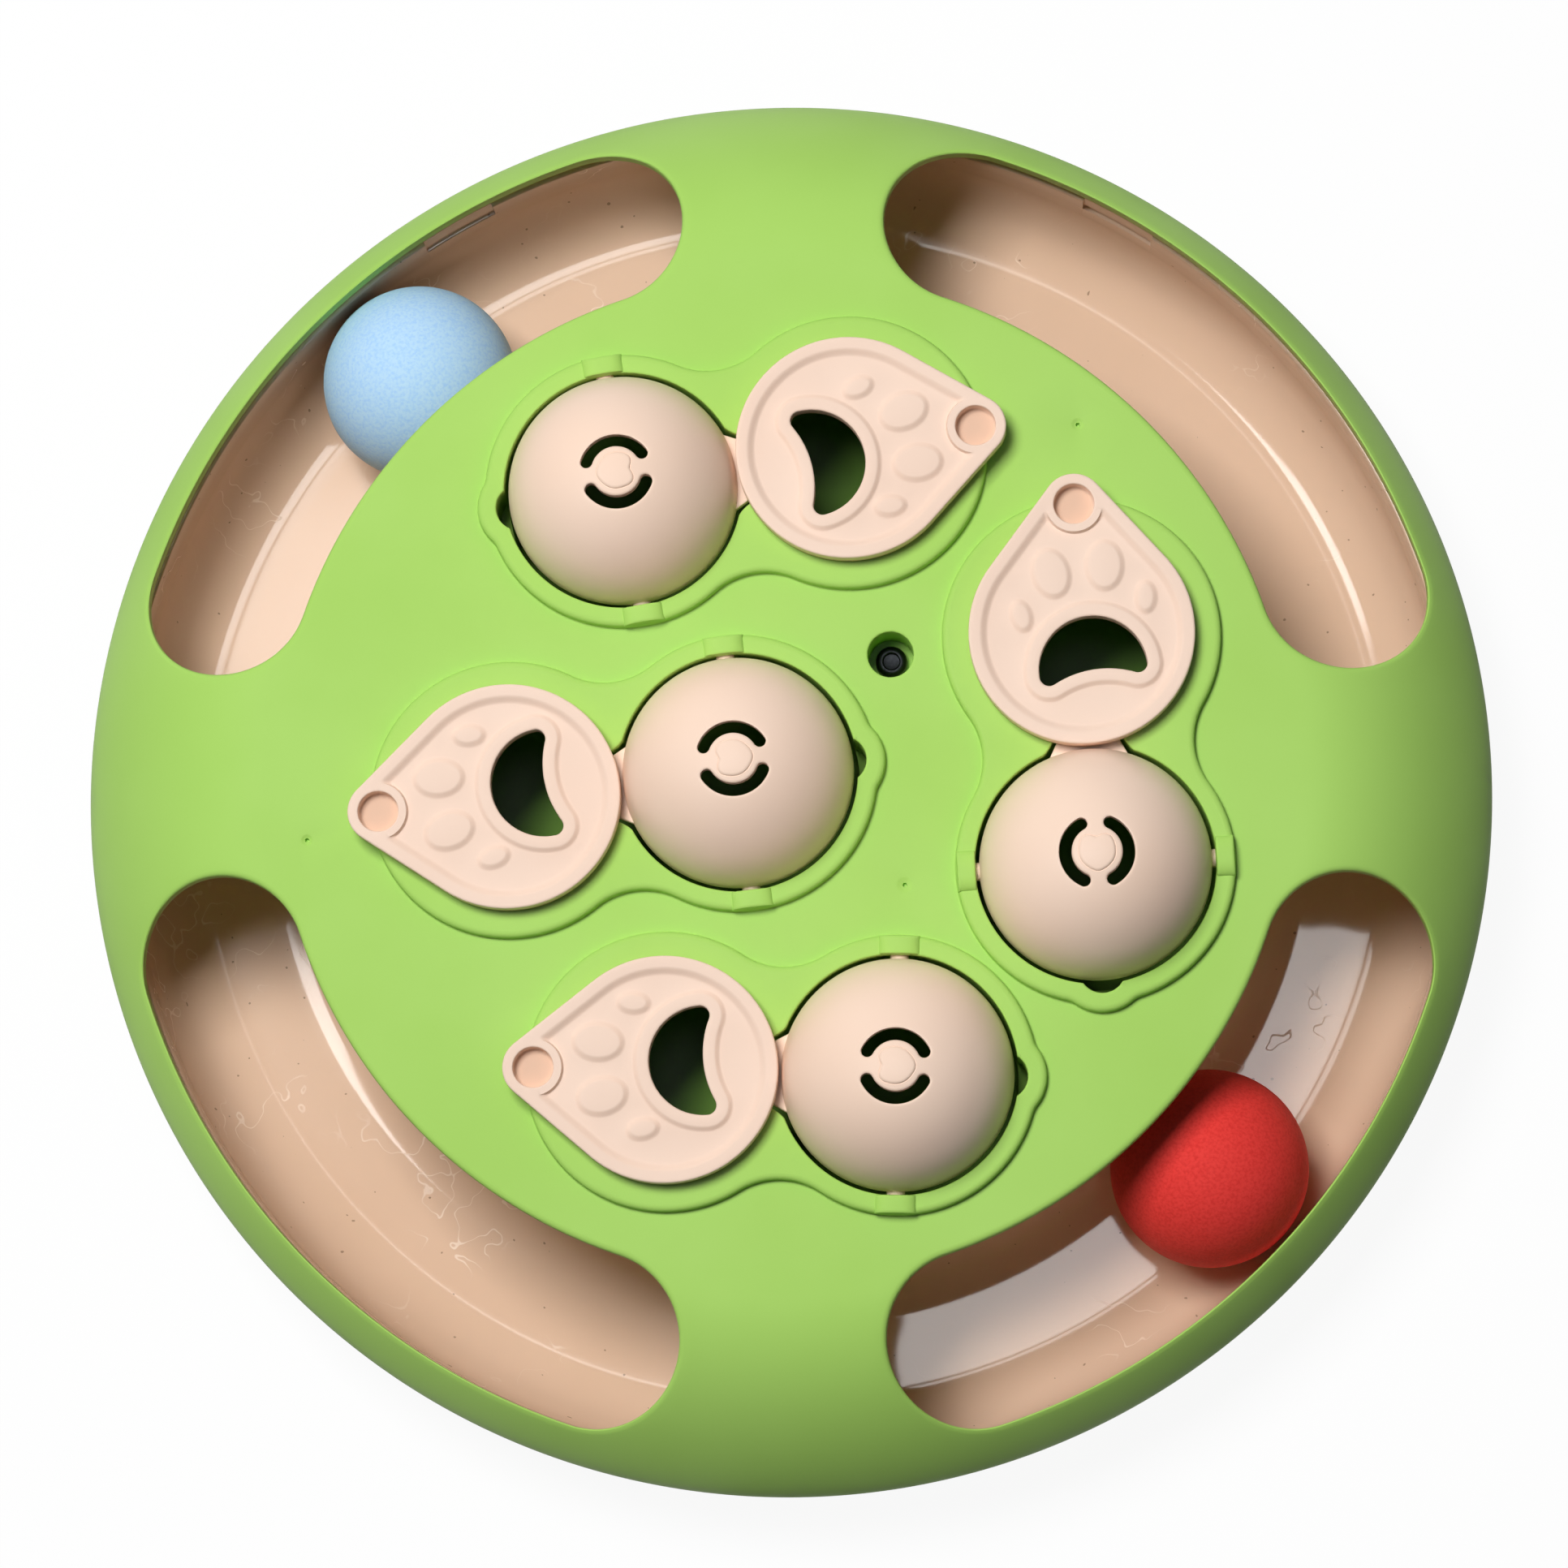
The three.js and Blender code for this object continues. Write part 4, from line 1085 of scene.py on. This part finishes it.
LID_LEAN = math.acos((LID_R - LID_TIP_R) / (TIP_PITCH - LID_PITCH))


def drop_outline():
    """The lid's outline: a large round, a small round at the tip and straight sides."""
    large = arc((LID_PITCH, 0), LID_R, LID_LEAN, FULL - LID_LEAN, last=True)
    return large + arc((TIP_PITCH, 0), LID_TIP_R, -LID_LEAN, LID_LEAN, last=True)


def recess_loop(inset, height):
    """The sunk field's edge: inside the border, with an arc round the tip."""
    lean = LID_LEAN
    border = LID_LAND + inset
    soft = LAND_CORNER_R
    way = polar(1, lean)
    along = Vector((-way.y, way.x))
    side = LID_TIP_R - border
    tip_r = TIP_LAND_R + COLLAR_SLOPE * inset / LID_SLOPE
    reach = math.sqrt((tip_r + soft) ** 2 - (side - soft) ** 2)
    middle = way * (side - soft) + along * reach
    turn = math.atan2(-middle.y, -middle.x) % FULL
    toward = math.atan2(middle.y, middle.x)
    tip = Vector((TIP_PITCH, 0))
    mirror = Vector((middle.x, -middle.y))
    steps = RECESS_STEPS
    pairs = arc((LID_PITCH, 0), LID_R - border, lean, FULL - lean, count=steps["round"], last=True)
    pairs += arc(tip + mirror, soft, FULL - lean, 2 * FULL - turn, count=steps["corner"])
    pairs += arc(tip, tip_r, FULL - toward, toward, count=steps["tip"], hollow=True)
    pairs += arc(tip + middle, soft, turn - FULL, lean, count=steps["corner"], last=True)
    return [Vector((*place, height)) for place, _ in pairs]


def pad_outline():
    """The paw pad: a round top, two lobes and a hollow between them."""
    r = PAD_W / 2
    top_y = PAD_TOP - r
    lobe_x = r - PAD_LOBE_R
    drop = PAD_LOBE_R + PAD_RISE
    sag = (lobe_x**2 - drop**2) / (2 * drop)
    outline = chain([
        round_part(lobe_x, top_y, PAD_LOBE_R),
        round_part(0, top_y, r),
        round_part(-lobe_x, top_y, PAD_LOBE_R),
        round_part(0, top_y - sag, sag + PAD_RISE, True),
    ])
    return on_paw(moved(outline, 0, (0, PAD_AT)))


def on_paw(outline):
    return moved(outline, math.radians(PAW_TURN_DEG - 90), (LID_PITCH, PAW_SHIFT))


def toe_outline(toe, side):
    """A splayed oval beside the paw's middle line."""
    wide, long = toe["width"], toe["length"]
    outline = []
    for i in range(TOE_SIDES):
        spot = polar(1, FULL * i / TOE_SIDES)
        place = Vector((wide / 2 * spot.x, long / 2 * spot.y))
        outline.append((place, Vector((spot.x / wide, spot.y / long)).normalized()))
    splay = -side * math.radians(TOE_SPLAY_DEG)
    return on_paw(moved(outline, splay, (side * toe["aside"], toe["along"])))


def relief_steps(outer, inner):
    """(offset, height) steps of the soft slope up the paw's relief."""
    return [
        (mix(outer, inner, share), LID_PLATE_Z + RELIEF_H * ease(share)) for share in shares(RELIEF_STEPS)
    ]


def build_tip_cup(bm):
    """The sunk cup over the lid's post. Gives its brim loop."""
    shape = circle((TIP_PITCH, 0), TIP_CUP_R)
    edge, floor_r = TIP_CUP_EDGE, TIP_CUP_FLOOR_R
    top, low = LID_TOP_Z, TIP_CUP_Z
    return closed_form(bm, shape, [
        (edge + TIP_CUP_HEM, top),
        *flat_to_steep(edge, top, -edge),
        *steep_to_flat(-floor_r, low, -floor_r),
        (-floor_r - HEM, low),
    ])


def build_toe(bm, toe, side):
    """One raised toe of the paw. Gives its foot loop."""
    steps = [(TOE_FOOT, LID_PLATE_Z), *relief_steps(TOE_FOOT, TOE_TOP)]
    return closed_form(bm, toe_outline(toe, side), steps)


def build_pad(bm):
    """The raised ring round the paw's hole. Gives its foot loop and the hole's lower loop."""
    pad = pad_outline()
    top = LID_PLATE_Z + RELIEF_H
    foot = ring(bm, lift(pad, PAD_RING, LID_PLATE_Z))
    hole = walk(bm, foot, pad, [
        *relief_steps(PAD_RING, PAD_RING_TOP),
        *flat_to_steep(PAD_EDGE, top, -PAD_EDGE),
        (0, LID_Z + LID_SOLE_EDGE),
        (LID_SOLE_EDGE, LID_Z),
    ])
    return foot, hole


def build_post(bm):
    """The lid's post with the bore for its screw. Gives its loop on the lid's underside."""
    shape = circle((TIP_PITCH, 0), POST_R)
    bore = POST_BORE_R - POST_R
    return closed_form(bm, shape, [
        (POST_EDGE, LID_Z),
        (0, LID_Z - POST_EDGE),
        (0, POST_END_Z + POST_EDGE),
        (-POST_EDGE, POST_END_Z),
        (bore, POST_END_Z),
        (bore, POST_END_Z + POST_BORE_L),
    ])


def build_lid():
    bm = bmesh.new()
    drop = drop_outline()
    soft = LID_SOLE_EDGE
    sole = ring(bm, lift(drop, -soft - HEM, LID_Z))
    land = walk(bm, sole, drop, [
        *flat_to_steep(-soft, LID_Z, soft, HIDDEN_STEPS),
        *steep_to_flat(-LID_ROUND, LID_TOP_Z, LID_ROUND, FINE_STEPS),
        (-LID_ROUND - LID_HEM, LID_TOP_Z),
    ])
    brim = build_tip_cup(bm)
    edge = ring(bm, recess_loop(0, LID_TOP_Z))
    fill(bm, land, edge, brim)
    for share in shares(RECESS_STEPS["slope"]):
        edge = grow(bm, edge, recess_loop(LID_SLOPE * share, LID_TOP_Z - LID_SINK * ease(share)))
    raised = [build_toe(bm, toe, side) for toe in (BIG_TOE, SMALL_TOE) for side in (1, -1)]
    foot, hole = build_pad(bm)
    fill(bm, edge, *raised, foot)
    fill(bm, sole, hole, build_post(bm))
    return bm


# Balls, feet and screw


def build_ball():
    """A moulded ball with a hair-thin parting ridge round its middle."""
    bm = bmesh.new()
    profile = []
    for i in range(BALL_STEPS + 1):
        turn = math.pi * i / BALL_STEPS
        ridge = math.exp(-((turn - QUARTER) / SEAM_SPREAD) ** 2)
        radius = BALL_R - SEAM_H + SEAM_H * ridge
        profile.append((radius * math.sin(turn), -radius * math.cos(turn)))
    profile[0] = (0, profile[0][1])
    profile[-1] = (0, profile[-1][1])
    lathe(bm, profile, BALL_SIDES)
    return bm


def build_foot():
    bm = bmesh.new()
    edge_r = FOOT_R - FOOT_EDGE
    lathe(bm, [
        (0, 0),
        (edge_r, 0),
        *bend((edge_r, 0), (FOOT_R, 0), (FOOT_R, FOOT_EDGE)),
        *bend((FOOT_R, FOOT_H - FOOT_EDGE), (FOOT_R, FOOT_H), (edge_r, FOOT_H)),
        (0, FOOT_H),
    ], FOOT_SIDES)
    return bm


def build_screw():
    """A pan-head screw: domed head with a socket, plain neck and thread rings."""
    bm = bmesh.new()
    top = SCREW_HEAD_Z + SCREW_HEAD_H
    socket_z = SCREW_HEAD_Z + SCREW_HEAD_H / 2
    rim_z = SCREW_HEAD_Z + SCREW_HEAD_RIM
    edge_r = SCREW_SOCKET_R + SCREW_SOCKET_EDGE
    edge_z = top - SCREW_SOCKET_EDGE
    thread = []
    for i in range(THREAD_TURNS):
        height = SCREW_END_Z + THREAD_PITCH * (i + 1)
        thread.append((SCREW_SHANK_R - THREAD_DEPTH, height))
        thread += [(SCREW_SHANK_R, height + crest) for crest in THREAD_CREST]
    lathe(bm, [
        (0, SCREW_END_Z),
        (SCREW_TIP_R, SCREW_END_Z),
        *thread,
        (SCREW_NECK_R, SCREW_HEAD_Z),
        (SCREW_HEAD_R, SCREW_HEAD_Z),
        *bend((SCREW_HEAD_R, rim_z), (SCREW_HEAD_R, top), (edge_r, top), FINE_STEPS),
        *bend((edge_r, top), (SCREW_SOCKET_R, top), (SCREW_SOCKET_R, edge_z), HIDDEN_STEPS),
        (SCREW_SOCKET_R, socket_z),
        (0, socket_z - SCREW_SOCKET_CONE),
    ], SCREW_SIDES)
    return bm


# Finishes

# Radii and heights between which painted shade sets in: sunk places get a darker colour that stands in for
# the shade in the wells, on domes swung down into them, and in the lids' tip cups
PAINTED_SHADE_FADE_R = (WINDOW_ZONE_R, WINDOW_ZONE_R - 1)
WELL_PAINTED_SHADE_Z = (DECK_Z - 4, WELL_FLOOR_Z)
DOME_PAINTED_SHADE_Z = (DECK_Z, WELL_FLOOR_Z)
CUP_PAINTED_SHADE_Z = (TIP_CUP_Z + 0.3, TIP_CUP_Z)


def tone(red, green, blue):
    """A display colour, 0 to 255, as a shader colour."""
    parts = [part / 255 for part in (red, green, blue)]
    return (*[part / 12.92 if part <= 0.04045 else ((part + 0.055) / 1.055) ** 2.4 for part in parts], 1)


class Socket:
    """A node's output that Python's operators work on. Each operator adds one Math node."""

    def __init__(self, finish, output):
        self.finish = finish
        self.output = output

    def maths(self, operation, other):
        return self.finish.node("ShaderNodeMath", {"operation": operation}, {0: self, 1: other})

    def __add__(self, other):
        return self.maths("ADD", other)

    def __sub__(self, other):
        return self.maths("SUBTRACT", other)

    def __mul__(self, other):
        return self.maths("MULTIPLY", other)

    __radd__ = __add__
    __rmul__ = __mul__


class Finish:
    """One procedural material. Patterns lie in the piece's own coordinates, in metres."""

    def __init__(self, name):
        self.material = bpy.data.materials.new(name)
        self.material.use_nodes = True
        self.tree = self.material.node_tree
        self.tree.nodes.clear()
        self.where = self.node("ShaderNodeTexCoord", output="Object")

    def node(self, kind, settings=None, sockets=None, output=0):
        """Adds a node: its settings first, then its sockets' values or links. Gives one of its outputs."""
        made = self.tree.nodes.new(kind)
        for name, value in (settings or {}).items():
            setattr(made, name, value)
        for key, value in (sockets or {}).items():
            if isinstance(value, Socket):
                self.tree.links.new(value.output, made.inputs[key])
            else:
                made.inputs[key].default_value = value
        return Socket(self, made.outputs[output])

    def noise(self, size, detail, stretch=None):
        """Soft noise with features of about this size in millimetres."""
        where = self.where
        if stretch:
            where = self.node("ShaderNodeMapping", sockets={"Vector": where, "Scale": stretch})
        sockets = {"Vector": where, "Scale": 1 / (size * MM), "Detail": detail}
        return self.node("ShaderNodeTexNoise", sockets=sockets)

    def step(self, value, low, high):
        """A soft threshold from 0 to 1."""
        return self.node(
            "ShaderNodeMapRange",
            {"interpolation_type": "SMOOTHSTEP"},
            {"Value": value, "From Min": low, "From Max": high},
        )

    def blend(self, first, second, share):
        return self.node("ShaderNodeMix", {"data_type": "RGBA"}, {0: share, 6: first, 7: second}, output=2)

    def sunk(self, top, bottom):
        """Mask of painted shade: 1 below the bottom height inside the ring of windows, 0 above the top
        height or outside it.
        """
        split = {"kind": "ShaderNodeSeparateXYZ", "sockets": {0: self.where}}
        x, y, z = [self.node(**split, output=axis) for axis in "XYZ"]
        outer, inner = [(radius * MM) ** 2 for radius in PAINTED_SHADE_FADE_R]
        near = self.step(x * x + y * y, outer, inner)
        return near * self.step(z, top * MM, bottom * MM)

    def bump(self, height, strength, depth):
        sockets = {"Height": height, "Strength": strength, "Distance": depth * MM}
        return self.node("ShaderNodeBump", sockets=sockets)

    def surface(self, **sockets):
        """The finished surface, from Principled BSDF sockets written with underscores."""
        named = {name.replace("_", " "): value for name, value in sockets.items()}
        return self.close(self.node("ShaderNodeBsdfPrincipled", sockets=named))

    def close(self, shader):
        """Links the last shader to the material's output."""
        out = self.tree.nodes.new("ShaderNodeOutputMaterial")
        self.tree.links.new(shader.output, out.inputs["Surface"])
        return self.material


def satin_plastic(name, light, deep, roughness, sheen, grain, grain_depth, painted_shade_tone, painted_shade_z):
    """Moulded plastic with faint flow blotches and a fine moulded grain, and painted shade: a darker tone
    below given heights in sunk places.
    """
    finish = Finish(name)
    blotch = finish.step(finish.noise(size=38, detail=3), low=0.3, high=0.75)
    fine = finish.noise(size=grain, detail=3)
    colour = finish.blend(light, deep, blotch * 0.6 + fine * 0.25)
    # Painted shade: below the given heights, inside the ring of windows, the colour blends to a darker tone
    colour = finish.blend(colour, painted_shade_tone, finish.sunk(*painted_shade_z))
    return finish.surface(
        Base_Color=colour,
        Roughness=roughness + 0.1 * (blotch - 0.5) + 0.12 * (fine - 0.5),
        Normal=finish.bump(fine, strength=0.25, depth=grain_depth),
        Specular_IOR_Level=sheen,
    )


def gloss_tan():
    """Polished tan plastic with a few specks of dirt and patches of curled hair scratches."""
    finish = Finish("gloss_tan")
    cloud = finish.noise(size=30, detail=3)
    specks = finish.step(finish.noise(size=1.1, detail=0), low=0.85, high=0.862)
    curl = finish.noise(size=7, detail=1.5)
    hairs = finish.step((curl - 0.5) * (curl - 0.5), low=0.00006, high=0.00001)
    worn = finish.step(finish.noise(size=24, detail=1), low=0.53, high=0.66)
    scratch = hairs * worn
    colour = finish.blend(tone(232, 199, 173), tone(224, 190, 162), cloud)
    colour = finish.blend(colour, tone(120, 92, 70), specks * 0.6)
    colour = finish.blend(colour, tone(250, 228, 208), scratch * 0.6)
    rough = 0.07 + 0.03 * cloud + 0.3 * scratch
    dents = finish.bump(hairs, strength=0.05, depth=0.01)
    return finish.surface(Base_Color=colour, Roughness=rough, Normal=dents, IOR=1.5)


def foam(name, light, deep):
    """Matte skinned foam with a fine speckle."""
    finish = Finish(name)
    speckle = finish.noise(size=0.55, detail=3)
    cells = finish.noise(size=1.6, detail=2)
    colour = finish.blend(light, deep, finish.step(speckle, low=0.35, high=0.75) * 0.7 + 0.2 * cells)
    rough = 0.7 + 0.2 * (cells - 0.5)
    pores = finish.bump(speckle, strength=0.3, depth=0.05)
    return finish.surface(Base_Color=colour, Roughness=rough, Normal=pores, IOR=1.4)


def steel():
    finish = Finish("turned_steel")
    rings = finish.noise(size=0.5, detail=2, stretch=(1, 1, 8))
    colour = finish.blend(tone(64, 66, 70), tone(42, 44, 47), rings)
    return finish.surface(Base_Color=colour, Metallic=1.0, Roughness=0.3 + 0.2 * rings)


def nylon():
    finish = Finish("milky_nylon")
    cloud = finish.noise(size=4, detail=3)
    colour = finish.blend(tone(236, 233, 225), tone(218, 214, 202), cloud)
    return finish.surface(Base_Color=colour, Roughness=0.45 + 0.15 * cloud)


def rubber():
    finish = Finish("foot_rubber")
    dust = finish.noise(size=1.2, detail=4)
    colour = finish.blend(tone(38, 39, 38), tone(62, 62, 60), finish.step(dust, low=0.4, high=0.8))
    grit = finish.bump(dust, strength=0.3, depth=0.05)
    return finish.surface(Base_Color=colour, Roughness=0.75 + 0.2 * dust, Normal=grit)


def add_object(name, data):
    """A new object in the scene."""
    made = bpy.data.objects.new(name, data)
    bpy.context.scene.collection.objects.link(made)
    return made


def add_mesh(name, bm, material):
    """A new object from a finished shape."""
    mesh = bpy.data.meshes.new(name)
    bm.to_mesh(mesh)
    bm.free()
    mesh.materials.append(material)
    return add_object(name, mesh)


def piece(name, bm, material, body, node, place=Matrix()):
    """Turns a finished shape into an object that rides on its body and stands for its node."""
    bmesh.ops.remove_doubles(bm, verts=bm.verts, dist=MERGE_WITHIN)
    bmesh.ops.dissolve_degenerate(bm, edges=bm.edges, dist=SLIVER)
    bmesh.ops.recalc_face_normals(bm, faces=bm.faces)
    bm.transform(Matrix.Scale(MM, 4) @ place)
    made = add_mesh(name, bm, material)
    made.data.shade_smooth()
    made.data.set_sharp_from_angle(angle=math.radians(SHARP_DEG))
    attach(made, body)
    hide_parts(node)


GREEN = satin_plastic(
    "satin_green", tone(177, 222, 111), tone(170, 216, 102),
    roughness=0.5, sheen=0.22, grain=0.35, grain_depth=0.03,
    # Painted shade: the wells' walls and floors below the deck turn a deeper green
    painted_shade_tone=tone(112, 152, 64), painted_shade_z=WELL_PAINTED_SHADE_Z,
)
DOME_TAN = satin_plastic(
    "satin_dome", tone(255, 227, 207), tone(252, 220, 197),
    roughness=0.42, sheen=0.4, grain=0.4, grain_depth=0.02,
    # Painted shade: the dome turns a darker tan where it swings down below the deck into its well
    painted_shade_tone=tone(232, 198, 172), painted_shade_z=DOME_PAINTED_SHADE_Z,
)
LID_TAN = satin_plastic(
    "matte_lid", tone(252, 225, 206), tone(248, 218, 198),
    roughness=0.55, sheen=0.4, grain=0.3, grain_depth=0.03,
    # Painted shade: the tip cup's floor, the foot of the lid's sides and its post turn a darker tan
    painted_shade_tone=tone(228, 193, 168), painted_shade_z=CUP_PAINTED_SHADE_Z,
)
TRACK_TAN = gloss_tan()
STEEL = steel()
NYLON = nylon()
RUBBER = rubber()
BLUE_FOAM = foam("blue_foam", tone(196, 230, 255), tone(164, 210, 255))
RED_FOAM = foam("red_foam", tone(244, 68, 62), tone(222, 50, 46))


def paint_node(name, material):
    """A solid that stays as it is gets its finish."""
    mesh = frame["nodes"][name].data
    mesh.materials.clear()
    mesh.materials.append(material)


def build_feeder():
    piece("moulded_cover", build_cover(), GREEN, "housing", "top_cover")
    piece("ball_track", build_base(), TRACK_TAN, "housing", "track_base")
    at = Matrix.Translation((SCREW_AT.x, SCREW_AT.y, 0))
    piece("cover_screw", build_screw(), STEEL, "housing", "deck_screw", at)
    for i, middle in enumerate(FOOT_PLACES, 1):
        at = Matrix.Translation((middle.x, middle.y, 0))
        piece(f"rubber_foot_{i}", build_foot(), RUBBER, "housing", f"foot_{i}", at)
    for i, place in COMPARTMENTS.items():
        dome, lid = build_dome(), build_lid()
        piece(f"smell_dome_{i}", dome, DOME_TAN, f"dome_{i}", f"flip_dome_{i}", place)
        piece(f"paw_lid_{i}", lid, LID_TAN, f"lid_{i}", f"swing_lid_{i}", place)
        paint_node(f"lid_washer_{i}", NYLON)
        paint_node(f"lid_screw_{i}", STEEL)
    for colour, material in (("blue", BLUE_FOAM), ("red", RED_FOAM)):
        node, body = f"ball_{colour}", f"{colour}_ball"
        at = Matrix.Translation(node_middle(node))
        piece(f"foam_ball_{colour}", build_ball(), material, body, node, at)


build_feeder()

# Stage, light and camera

CAMERA_AT = Vector((0.038363, -0.138127, 1.025549))
CAMERA_AIM = Vector((-0.000307, -0.000302, 0.034))
LENS_MM = 130.43
SENSOR_MM = 36
CLIP_END = 100
FLOOR_SIZE = 8
FLOOR_WHITE = (1, 1, 1, 1)
FLOOR_BOUNCE = (0.2, 0.2, 0.2, 1)
FLOOR_GLOW = 0.93
WHITE_WHEN_SEEN_BY = ("Is Camera Ray", "Is Glossy Ray", "Is Transmission Ray")
WORLD_LEVEL = 0.05
KEY = {"at": (-0.325, 0.303, 1.25), "size": (0.5, 0.5), "watts": 16.2, "aim": (0, 0, 0.03)}
PANELS = {
    "panel_front": {"at": (0.10, 0.031, 1.5), "size": (0.33, 0.29), "level": 7, "turn_deg": -7},
    "panel_side": {"at": (-0.604, -0.040, 1.5), "size": (0.6, 0.18), "level": 11, "turn_deg": 16},
    "panel_strip": {"at": (-0.17, 0.29, 1.5), "size": (0.33, 0.12), "level": 5},
}


def add_camera():
    camera = add_object("camera", bpy.data.cameras.new("camera"))
    forward = (CAMERA_AIM - CAMERA_AT).normalized()
    right = forward.cross(Vector((0, 1, 0))).normalized()
    up = right.cross(forward)
    turn = Matrix((right, up, -forward)).transposed()
    camera.matrix_world = Matrix.Translation(CAMERA_AT) @ turn.to_4x4()
    camera.data.lens = LENS_MM
    camera.data.sensor_width = SENSOR_MM
    camera.data.clip_end = CLIP_END
    bpy.context.scene.camera = camera


def add_floor():
    bm = bmesh.new()
    bmesh.ops.create_grid(bm, x_segments=1, y_segments=1, size=FLOOR_SIZE / 2)
    finish = Finish("pale_floor")
    camera, glossy, through = [finish.node("ShaderNodeLightPath", output=ray) for ray in WHITE_WHEN_SEEN_BY]
    seen = camera + glossy + through
    grey = finish.blend(FLOOR_BOUNCE, FLOOR_WHITE, seen)
    matte = finish.node("ShaderNodeBsdfDiffuse", sockets={"Color": grey})
    white = finish.node("ShaderNodeEmission", sockets={"Color": FLOOR_WHITE, "Strength": 1.0})
    mixed = finish.node("ShaderNodeMixShader", sockets={0: seen * FLOOR_GLOW, 1: matte, 2: white})
    floor = add_mesh("floor", bm, finish.close(mixed))


def add_soft_box(name, at, size, watts, aim=None, turn_deg=0):
    """A rectangular soft box. Without an aim it hangs flat and faces straight down."""
    lamp = bpy.data.lights.new(name, "AREA")
    lamp.shape = "RECTANGLE"
    lamp.size, lamp.size_y = size
    lamp.energy = watts
    box = add_object(name, lamp)
    box.location = at
    box.rotation_euler.z = math.radians(turn_deg)
    if aim:
        box.rotation_euler = (Vector(aim) - Vector(at)).to_track_quat("-Z", "Y").to_euler()
    return box


def add_panel(name, at, size, level, turn_deg=0):
    """A hanging white panel that shows in polished surfaces but lights nothing."""
    panel = add_soft_box(name, at, size, level * math.pi * size[0] * size[1], turn_deg=turn_deg)
    panel.visible_diffuse = False


def add_world():
    world = bpy.data.worlds.new("studio")
    bpy.context.scene.world = world
    world.use_nodes = True
    back = world.node_tree.nodes["Background"]
    back.inputs["Color"].default_value = (1, 1, 1, 1)
    back.inputs["Strength"].default_value = WORLD_LEVEL


add_camera()
add_floor()
add_world()
key = add_soft_box("key", **KEY)
key.visible_glossy = False
for name, panel in PANELS.items():
    add_panel(name, **panel)
bpy.context.scene.view_settings.view_transform = "Standard"
